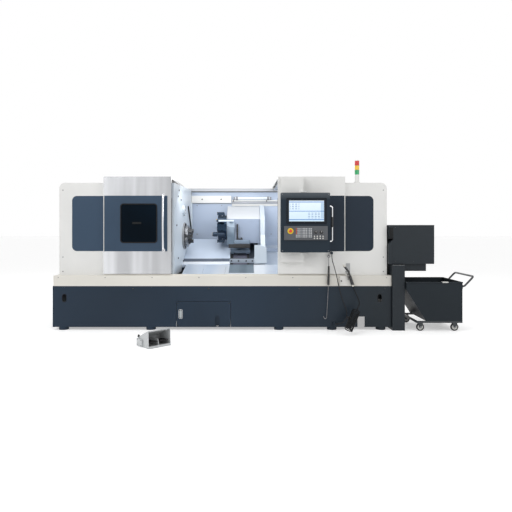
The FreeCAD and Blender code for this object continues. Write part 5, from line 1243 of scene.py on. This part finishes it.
class LATHE_OT_turret(Piece):
    """Makes the boring bar's sleeve, the turret's hub screws, the cutting inserts and the coolant plate"""

    bl_idname = "lathe.turret"
    bl_label = "Turret details"

    def make(self):
        face = low("turret_disc", "X")
        sleeve = [
            (0, 0.075), (0.022, 0.075), (0.027, 0.070), (0.030, 0.052), (0.033, 0.050), (0.033, 0.004),
            (0.030, 0), (0, 0),
        ]  # fmt: skip
        holder = around(TURRET, face + 0.012, 0.194, [math.radians(210)])[0]
        build("boring_sleeve", turned(sleeve, holder, LEFT, 28), "holder dark", "turret")
        heads = around(TURRET, face + 0.0005, 0.047, np.radians(np.arange(0, 360, 60)))
        build("turret_screws", screws(heads, LEFT, 0.006), "plated screw", "turret")
        tip = [(0, -0.002), (0.0065, -0.002), (0.0065, 0.003), (0, 0.003)]
        tips = []
        for station in (0, 2, 6, 8, 10):
            a = math.radians(90 - 30 * station)
            out = np.array([0.0, math.cos(a), math.sin(a)])
            tips.append(turned(tip, np.array([face + 0.004, TURRET.y, TURRET.z]) + out * 0.2178, out, 4))
        build("cutting_inserts", tips, "brass", "turret", smooth=False)
        flat = soft_block((-0.085, -0.222, 1.352), (0.132, -0.212, 1.376), 0.003)
        arm = soft_block((0.060, -0.216, 1.354), (0.122, -0.030, 1.374), 0.003)
        build("coolant_plate", [flat, arm], "cool white", "cross_slide")


class LATHE_OT_carriage(Piece):
    """Makes the cross slide's bar, plates, ways and folds, the carriage's foot and the shield's front"""

    bl_idname = "lathe.carriage"
    bl_label = "Carriage details"

    def make(self):
        bar = soft_block((0.162, -0.098, 1.112), (0.186, -0.074, 1.318), 0.003)
        foot = soft_block((0.162, -0.118, 1.096), (0.250, -0.066, 1.116), 0.003)
        stud = [(0, 0), (0.010, 0), (0.011, 0.008), (0.008, 0.012), (0, 0.013)]
        cap = turned(stud, (0.232, -0.090, 1.116), UP, 16)
        build("slide_bar", [bar, foot, cap], "black plastic", "cross_slide")
        shelf = soft_block((0.128, -0.165, 1.038), (0.352, -0.058, 1.096), 0.006)
        build("slide_shelf", shelf, "slide slate", "cross_slide")
        band = soft_block((0.052, -0.184, 0.985), (0.356, -0.140, 1.036), 0.004)
        build("slide_band", band, "black plastic", "cross_slide")
        lugs = [
            soft_block((x - 0.006, -0.150, 1.030), (x + 0.006, -0.080, 1.044), 0.002)
            for x in (0.16, 0.32)
        ]
        build("slide_lugs", lugs, "slide slate", "cross_slide")
        rails = [slant_block(x, x + 0.028, -0.300, 0.02, -0.2862, -0.2790) for x in (0.088, 0.314)]
        build("cross_ways", rails, "black plastic", "carriage", soften=0.0015)
        folds = []
        for i in range(9):
            u, top = -0.292 + 0.030 * i, -0.2905 + 0.0012 * (i % 2)
            folds.append(slant_block(0.120, 0.310, u, u + 0.032, -0.3180, top))
        build("cross_cover", folds, "cross cover", "carriage", soften=0.001)
        left, right, base, top = 0.074, 0.408, 0.786, 0.846
        plate = strip(left, right, base, top, CARRIAGE_FACE, CARRIAGE_FACE + 0.012, 0.003)
        build("carriage_foot", plate, "pale casting", "carriage")
        heads = grid((0.098, 0.196, 0.300, 0.384), CARRIAGE_FACE, 0.815)
        build("carriage_bolts", screws(heads, FRONT, 0.011), "dark screw", "carriage")
        edge = strip(left, right, top, top + 0.006, CARRIAGE_FACE, CARRIAGE_FACE + 0.008)
        build("carriage_wiper", edge, "seal rubber", "carriage")
        outline = [(0.412, base), (0.580, base), (0.576, 1.000), (0.500, 1.032), (0.412, 1.032)]
        side = prism(outline, "Y", CARRIAGE_FACE - 0.001, CARRIAGE_FACE + 0.005)
        line = np.array([(0.292, 1.602), (-0.078, 1.384), (-0.092, 1.167), (-0.344, 0.90)])
        fold = prism(np.concatenate([line, (line + (0.004, -0.002))[::-1]]), "X", 0.500, 0.566)
        build("shield_front", [side, fold], "cool white", "carriage", soften=0.0012)


class LATHE_OT_lamp_rail(Piece):
    """Makes the light rail, its joints and clips, the light box's screws and the sheet at the wall's foot"""

    bl_idname = "lathe.lamp_rail"
    bl_label = "Light rail"

    def make(self):
        left, right, back = 0.085, 1.490, WALL_FACE - 0.001
        tray = [
            strip(left, right, 1.660, 1.684, 0.318, back, 0.005),
            strip(left, right, 1.592, 1.622, back - 0.010, back, 0.003),
        ]
        build("lamp_rail", tray, "white coat", "root")
        gap = [
            strip(left, right, 1.624, 1.658, 0.343, back + 0.0005, 0.002),
            strip(-0.515, 0.080, 1.626, 1.634, 0.343, back + 0.0005, 0.001),
        ]
        build("lamp_rail_joint", gap, "grey sheet", "root")
        foot = strip(-0.570, right, 1.004, 1.126, 0.345, WALL_FACE + 0.001, 0.002)
        build("rear_wall_foot", foot, "work area sheet", "root")
        clips = [strip(x, x + 0.016, 1.652, 1.690, 0.316, back, 0.003) for x in (0.10, 0.60, 1.10)]
        build("lamp_clips", clips, "grey plastic", "root")
        heads = grid((-0.075, -0.36), 0.304, 1.692)
        build("light_box_screws", screws(heads, FRONT, 0.010), "dark screw", "root")


class LATHE_OT_panel_trim(Piece):
    """Makes the operator panel's screws, knob scales, buttons, seams and vents, and its handle's joint"""

    bl_idname = "lathe.panel_trim"
    bl_label = "Panel details"

    def make(self):
        heads = grid((0.735, 1.284), -1.155, (0.992, 1.670))
        build("panel_screws", screws(heads, FRONT, 0.006), "plated screw", "panel")
        dot, reach = [(0, 0), (0.0012, 0), (0.0012, 0.0006), (0, 0.0006)], 0.0255
        marks = []
        for x in (1.131, 1.197):
            for a in np.radians(np.arange(-135, 136, 27)):
                place = (x + reach * math.sin(a), KEY_FACE - 0.0004, 1.213 + reach * math.cos(a))
                marks.append(turned(dot, place, FRONT, 6))
        build("knob_scales", marks, "pale plastic", "panel")
        cap = [(0, 0), (0.0085, 0), (0.0085, 0.004), (0.0065, 0.0058), (0, 0.0062)]
        places = grid((1.115, 1.149, 1.183, 1.217), KEY_FACE, (1.166, 1.142))
        buttons = [turned(cap, place, FRONT, 20) for place in places]
        build("panel_buttons", buttons, "pale plastic", "panel")
        seams = [
            strip(0.753, 1.274, 1.1195, 1.1215, -1.1725, -1.170, 0.0006),
            strip(1.098, 1.100, 1.128, 1.283, -1.1720, -1.170, 0.0006),
        ]
        build("plate_lines", seams, "dark screw", "panel")
        inset = 0.0095
        place = (high("panel_handle", "X") - inset, low("panel_handle", "Y") + inset, 1.337)
        sleeve = [
            (0, -0.062), (0.0125, -0.062), (0.0135, -0.058), (0.0135, 0.058), (0.0125, 0.062), (0, 0.062),
        ]  # fmt: skip
        build("handle_joint", turned(sleeve, place, UP, 24), "black plastic", "panel")
        lefts = [0.80 + 0.035 * i for i in range(12)]
        vents = [strip(x, x + 0.015, 1.02, 1.10, -1.0712, -1.0700, 0.0005) for x in lefts]
        build("panel_vents", vents, "seal rubber", "panel")


class LATHE_OT_tower_trim(Piece):
    """Makes the signal tower's dark rings and base nut"""

    bl_idname = "lathe.tower_trim"
    bl_label = "Tower details"

    def make(self):
        z0, z1 = ends("tower_lenses", "Z")
        x, y = halfway("tower_lenses", "X"), halfway("tower_lenses", "Y")
        levels = [z0 + (z1 - z0) / 3 * k - 0.0015 for k in (1, 2)]
        seams = [ring((x, y, z), UP, 0.0275, 0.0296, 0.003, 40) for z in levels]
        build("tower_rings", seams, "grey plastic", "root")
        nut = [(0, 0), (0.036, 0), (0.038, 0.003), (0.038, 0.010), (0.034, 0.014), (0, 0.014)]
        build("tower_foot", turned(nut, (x, y, 1.832), UP, 32), "pale plastic", "root")


class LATHE_OT_switch_trim(Piece):
    """Makes the foot switch's gland nut, screws and rubber feet"""

    bl_idname = "lathe.switch_trim"
    bl_label = "Foot switch details"

    def make(self):
        turn = math.radians(42)
        c, n = math.cos(turn), math.sin(turn)

        def place(a, b, z):
            """The place a along the switch's width and b along its depth, turned as it stands."""
            return (-0.690 + a * c - b * n, -1.732 + a * n + b * c, z)

        nut = [(0, 0), (0.014, 0), (0.0145, 0.012), (0.010, 0.016), (0.0085, 0.024), (0, 0.024)]
        gland = turned(nut, place(-0.139, 0.090, 0.100), UP, 6)
        build("switch_gland", gland, "black plastic", "root")
        heads = [place(*spot) for spot in grid(-0.1528, (0.022, 0.098), (0.018, 0.074))]
        build("switch_screws", screws(heads, (-c, -n, 0), 0.005), "plated screw", "root")
        pad = [(0, 0), (0.011, 0), (0.013, 0.003), (0, 0.003)]
        feet = [turned(pad, place(*spot), UP, 16) for spot in grid((-0.11, 0.11), (-0.085, 0.085), 0.0002)]
        build("switch_feet", feet, "seal rubber", "root")


class LATHE_OT_base_trim(Piece):
    """Makes the sight glass's frame, the tank front's screws, the hand holes' rims and the base's joints"""

    bl_idname = "lathe.base_trim"
    bl_label = "Base details"

    def make(self):
        face = low("coolant_tank", "Y")
        x0, x1, z0, z1 = SIGHT_GLASS
        m = 0.005
        gauge = rim(x0 - m, x1 + m, z0 - m, z1 + m, face - 0.0005, 0.012, 0.0035)
        build("gauge_frame", gauge, "trim steel", "tank")
        heads = grid((-0.548, 0.088), face, (0.060, 0.330))
        build("tank_screws", screws(heads, FRONT, 0.007), "dark screw", "tank")
        half = 0.0255
        for k, x in enumerate((-1.955, 1.955)):
            hole = rim(x - half, x + half, 0.349, 0.445, BASE_FRONT - 0.0004, 0.0250, 0.0022)
            build(f"hand_hole_rim_{k}", hole, "seal rubber", "root")
        back, half = high("base_skirt", "Y"), 0.0012
        joints = [
            strip(x - half, x + half, 0.040, 0.543, back - 0.0006, back + 0.0006, 0.0005)
            for x in (-1.05, 0.0, 1.05)
        ]
        build("base_joints", joints, "seal rubber", "root")


class LATHE_OT_cabinet_trim(Piece):
    """Makes the cabinet's hinges, latches, louvres and lifting eyes, and the back's joints and screws"""

    bl_idname = "lathe.cabinet_trim"
    bl_label = "Cabinet and back details"

    def make(self):
        lower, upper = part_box("electrical_cabinet")
        back, middle = upper.y, (lower.x + upper.x) / 2
        barrel = [(0, -0.032), (0.008, -0.032), (0.009, -0.030), (0.009, 0.030), (0.008, 0.032), (0, 0.032)]
        places = grid((lower.x - 0.004, upper.x + 0.004), back - 0.020, (0.86, 1.27, 1.68))
        hinges = [turned(barrel, place, UP, 16) for place in places]
        build("cabinet_hinges", hinges, "grey plastic", "root")
        knob = [(0, 0), (0.019, 0), (0.021, 0.003), (0.021, 0.010), (0.017, 0.014), (0, 0.015)]
        places = grid((middle - 0.07, middle + 0.07), back, (0.95, 1.60))
        latches = [turned(knob, (x, y - 0.0005, z), BACK, 24) for x, y, z in places]
        latches += [
            strip(x - 0.004, x + 0.004, z - 0.015, z + 0.015, y + 0.012, y + 0.020, 0.002)
            for x, y, z in places
        ]
        build("cabinet_latches", latches, "black plastic", "root")
        t = np.linspace(0, 1, 9)
        louvre = np.stack([-0.010 * np.sin(t * math.pi), 0.016 * (t - 0.5)], axis=1)
        starts = [(x, 0.86 + 0.030 * i) for x in (middle - 0.66, middle + 0.30) for i in range(9)]
        blades = [swept(course(x + np.array([0, 0.18, 0.36]), back, z), louvre) for x, z in starts]
        build("cabinet_louvres", blades, "white coat", "root")
        t, reach = np.linspace(0, 2 * math.pi, 24, endpoint=False), 0.022
        collar = [(0, 0), (0.018, 0), (0.018, 0.008), (0.010, 0.012), (0, 0.012)]
        eyes = []
        for x, y in ((lower.x + 0.10, back - 0.13), (upper.x - 0.10, back - 0.13)):
            loop = course(x + reach * np.cos(t), y, upper.z + 0.030 + reach * np.sin(t))
            eyes.append(swept(loop, circle(0.006, 10), closed_path=True, helper=BACK))
            eyes.append(turned(collar, (x, y, upper.z), UP, 20))
        build("lifting_eyes", eyes, "trim steel", "root")
        uprights = [(x - 0.0015, x + 0.0015, 0.680, 1.826) for x in (-1.50, 1.45)]
        level = (1.25, 1.2535)
        spans = (*uprights, (-2.04, -0.905, *level), (0.955, 2.06, *level))
        joints = [strip(*span, BACK_SKIN - 0.0004, BACK_SKIN + 0.0008, 0.0006) for span in spans]
        build("back_joints", joints, "seal rubber", "root")
        heads = grid((-1.98, -1.54, -1.46, 1.41, 1.49, 2.0), BACK_SKIN, (0.74, 1.22, 1.78))
        build("back_screws", screws(heads, BACK, 0.007), "plated screw", "root")


class LATHE_OT_cover_trim(Piece):
    """Makes the roof's joints and screws, the end covers' screws and the ring round the bar's way in"""

    bl_idname = "lathe.cover_trim"
    bl_label = "Cover details"

    def make(self):
        top, half = high("left_cover", "Z"), 0.0015
        joints = [
            strip(x - half, x + half, top - 0.0004, top + 0.0008, -0.86, 0.69, 0.0006)
            for x in (-1.50, -1.00, 1.72)
        ]
        build("roof_joints", joints, "seal rubber", "root")
        left, right, ways = low("left_cover", "X"), high("right_cover", "X"), (-0.78, 0.60)
        roof = grid((-1.96, -1.54, -1.46, -1.04, -0.96, -0.70, 1.76, 1.96), (-0.78, -0.10, 0.60), top)
        build("roof_screws", screws(roof, UP, 0.007), "plated screw", "root")
        way_in = ring((left + 0.0005, SPINDLE.y, SPINDLE.z), LEFT, 0.0705, 0.082, 0.004, 48)
        build("bar_ring", way_in, "seal rubber", "root")
        heads = screws(grid(left, ways, (0.74, 1.25, 1.74)), LEFT, 0.007)
        build("left_end_screws", heads, "plated screw", "root")
        heads = screws(grid(right, ways, (1.36, 1.74)), RIGHT, 0.007)
        build("right_end_screws", heads, "plated screw", "root")


class LATHE_OT_conveyor_trim(Piece):
    """Makes the conveyor's seams, screws and column cap, and a dark sheet of painted shade for the gap by its
    neck, where the dark motor shows behind
    """

    bl_idname = "lathe.conveyor_trim"
    bl_label = "Conveyor details"

    def make(self):
        heads = grid((2.155, 2.38, 2.605), CONVEYOR_FACE, (0.850, 1.270))
        build("conveyor_screws", screws(heads, FRONT, 0.007), "dark screw", "root")
        depth = (CONVEYOR_FACE - 0.0008, CONVEYOR_FACE + 0.0005, 0.0005)
        seams = [strip(2.120, 2.122, 0.82, 1.30, *depth), strip(2.122, 2.636, 1.282, 1.284, *depth)]
        build("conveyor_seams", seams, "seal rubber", "root")
        cap = strip(2.105, 2.255, 0.8045, 0.8085, COLUMN_FACE - 0.0012, COLUMN_FACE + 0.005, 0.001)
        build("column_line", cap, "grey plastic", "root")
        # painted shade: a near-black sheet on the head's face stands for the shaded gap at its left edge,
        # partly the dark motor seen behind it
        face = low("conveyor_head", "Y")
        gap = strip(2.076, 2.128, 1.131, 1.270, face - 0.0012, face + 0.001, 0.0005)
        build("head_gap_shade", gap, "hose rubber", "root")
        heads = grid((2.118, 2.242), COLUMN_FACE, (0.06, 0.30, 0.54, 0.78))
        build("column_screws", screws(heads, FRONT, 0.0055), "dark screw", "root")


class LATHE_OT_cart_trim(Piece):
    """Makes the chip cart's hub caps and rim clip"""

    bl_idname = "lathe.cart_trim"
    bl_label = "Cart details"

    def make(self):
        cap, reach = [(0, -0.001), (0.010, -0.001), (0.010, 0.001), (0.006, 0.004), (0, 0.004)], 0.0130
        for place in ("front_left", "front_right", "rear_left", "rear_right"):
            wheel = f"cart_wheel_{place}"
            x, z = halfway(wheel, "X"), halfway(wheel, "Z")
            y0, y1 = ends(wheel, "Y")
            caps = [turned(cap, (x, y0 - reach, z), FRONT, 16), turned(cap, (x, y1 + reach, z), BACK, 16)]
            build(f"axle_caps_{place}", caps, "plated screw", "cart")
        y, z = low("cart_hopper", "Y"), high("cart_hopper", "Z")
        clip = strip(2.700, 2.775, z - 0.010, z + 0.003, y - 0.004, y + 0.030, 0.003)
        build("cart_clip", clip, "pale plastic", "cart")


# ---- floor, light and camera ----------------------------------------------------------------------
FLOOR_REACH, FLOOR_LINES = 60.0, 13
CAMERA_PLACE = (0.2976, -6.950, 1.277)
CAMERA_LENS, CAMERA_FILM = 34.03, 36.0
CAMERA_SHIFT = (0.0195, -0.0566)
# name, place, sides of its plate, power in watts, point it faces
LAMPS = (
    ("key_lamp", (-3.6, -5.2, 4.6), (3.2, 3.2), 120.0, (0.2, -0.8, 0.9)),
    ("fill_lamp", (4.6, -4.8, 3.2), (3.0, 3.0), 60.0, (0.4, -0.8, 0.9)),
    ("top_lamp", (0.2, -1.0, 5.4), (5.0, 3.0), 60.0, (0.2, -0.2, 0.0)),
    ("back_lamp", (0.0, 5.4, 3.6), (5.0, 2.4), 90.0, (0.0, 0.6, 1.0)),
    ("inner_lamp", (0.0, -0.62, 1.78), (1.0, 0.30), 4.2, (0.05, 0.1, 0.95)),
    ("side_lamp", (1.05, -0.60, 1.68), (0.6, 0.30), 4.0, (0.80, 0.2, 1.05)),
)


def seen_directly(nodes, links):
    """1 for what the camera sees, straight, in gloss or through glass."""
    path = nodes.new("ShaderNodeLightPath")
    seen = path.outputs["Is Camera Ray"]
    for way in ("Is Glossy Ray", "Is Transmission Ray"):
        most = nodes.new("ShaderNodeMath")
        most.operation = "MAXIMUM"
        links.new(seen, most.inputs[0])
        links.new(path.outputs[way], most.inputs[1])
        seen = most.outputs[0]
    return seen


def floor_material():
    """A white floor: its own glow fills it up to white where the camera looks, and the shadow stays."""
    material = bpy.data.materials.new("floor white")
    material.use_nodes = True
    nodes, links = material.node_tree.nodes, material.node_tree.links
    shader = nodes["Principled BSDF"]
    shader.inputs["Base Color"].default_value = (0.86, 0.86, 0.86, 1.0)
    shader.inputs["Roughness"].default_value = 0.7
    shader.inputs["Emission Color"].default_value = (1.0, 1.0, 1.0, 1.0)
    glow = nodes.new("ShaderNodeMath")
    glow.operation = "MULTIPLY"
    glow.inputs[1].default_value = 0.42
    links.new(seen_directly(nodes, links), glow.inputs[0])
    links.new(glow.outputs[0], shader.inputs["Emission Strength"])
    return material


def sky():
    """White where it is seen, plain pale light elsewhere."""
    world = bpy.data.worlds.new("studio")
    world.use_nodes = True
    nodes, links = world.node_tree.nodes, world.node_tree.links
    back = nodes["Background"]
    back.inputs["Color"].default_value = (1.0, 1.0, 1.0, 1.0)
    level = nodes.new("ShaderNodeMapRange")
    level.inputs["To Min"].default_value = 0.55
    level.inputs["To Max"].default_value = 1.0
    links.new(seen_directly(nodes, links), level.inputs["Value"])
    links.new(level.outputs[0], back.inputs["Strength"])
    return world


class LATHE_OT_stage(Piece):
    """Makes the pale floor, the lights and the camera"""

    bl_idname = "lathe.stage"
    bl_label = "Stage"

    def make(self):
        scene = bpy.context.scene
        scene.view_settings.view_transform = "Standard"
        side = np.linspace(-FLOOR_REACH, FLOOR_REACH, FLOOR_LINES)
        x, y = np.meshgrid(side, side, indexing="ij")
        points = np.stack([x, y, np.zeros_like(x)], axis=-1).reshape(-1, 3)
        mesh = bpy.data.meshes.new("floor")
        mesh.from_pydata(points.tolist(), [], grid_faces(FLOOR_LINES, FLOOR_LINES).tolist())
        floor = bpy.data.objects.new("floor", mesh)
        scene.collection.objects.link(floor)
        mesh.materials.append(floor_material())
        scene.world = sky()
        for name, place, size, power, aim in LAMPS:
            lamp = bpy.data.lights.new(name, "AREA")
            lamp.shape, lamp.size, lamp.size_y, lamp.energy = "RECTANGLE", size[0], size[1], power
            holder = bpy.data.objects.new(name, lamp)
            holder.location = place
            holder.rotation_euler = (Vector(aim) - Vector(place)).to_track_quat("-Z", "Y").to_euler()
            scene.collection.objects.link(holder)
        lens = bpy.data.cameras.new("camera")
        lens.lens, lens.sensor_width = CAMERA_LENS, CAMERA_FILM
        lens.shift_x, lens.shift_y = CAMERA_SHIFT
        camera = bpy.data.objects.new("camera", lens)
        camera.location = CAMERA_PLACE
        camera.rotation_euler = (math.radians(90), 0, 0)
        scene.collection.objects.link(camera)
        scene.camera = camera


OPERATORS = (
    LATHE_OT_cords, LATHE_OT_finishes, LATHE_OT_screws, LATHE_OT_seals, LATHE_OT_guard, LATHE_OT_chuck,
    LATHE_OT_turret, LATHE_OT_carriage, LATHE_OT_lamp_rail, LATHE_OT_panel_trim, LATHE_OT_tower_trim,
    LATHE_OT_switch_trim, LATHE_OT_base_trim, LATHE_OT_cabinet_trim, LATHE_OT_cover_trim,
    LATHE_OT_conveyor_trim, LATHE_OT_cart_trim, LATHE_OT_stage,
)


class LATHE_PT_pieces(bpy.types.Panel):
    """Lists the machine's pieces"""

    bl_label = "Turning lathe"
    bl_idname = "LATHE_PT_pieces"
    bl_space_type = "VIEW_3D"
    bl_region_type = "UI"
    bl_category = "Lathe"

    def draw(self, context):
        for step in OPERATORS:
            self.layout.operator(step.bl_idname)
        for group in (context.scene.lathe_colours, context.scene.lathe_sizes):
            for key in group.bl_rna.properties.keys():
                if key not in {"rna_type", "name"}:
                    self.layout.prop(group, key)


CLASSES = (LatheColours, LatheSizes, *OPERATORS, LATHE_PT_pieces)


def register():
    for item in CLASSES:
        bpy.utils.register_class(item)
    bpy.types.Scene.lathe_colours = PointerProperty(type=LatheColours)
    bpy.types.Scene.lathe_sizes = PointerProperty(type=LatheSizes)


def unregister():
    del bpy.types.Scene.lathe_sizes
    del bpy.types.Scene.lathe_colours
    for item in reversed(CLASSES):
        bpy.utils.unregister_class(item)


def main():
    register()
    for step in OPERATORS:
        group, call = step.bl_idname.split(".")
        getattr(getattr(bpy.ops, group), call)()


if __name__ == "__main__":
    main()
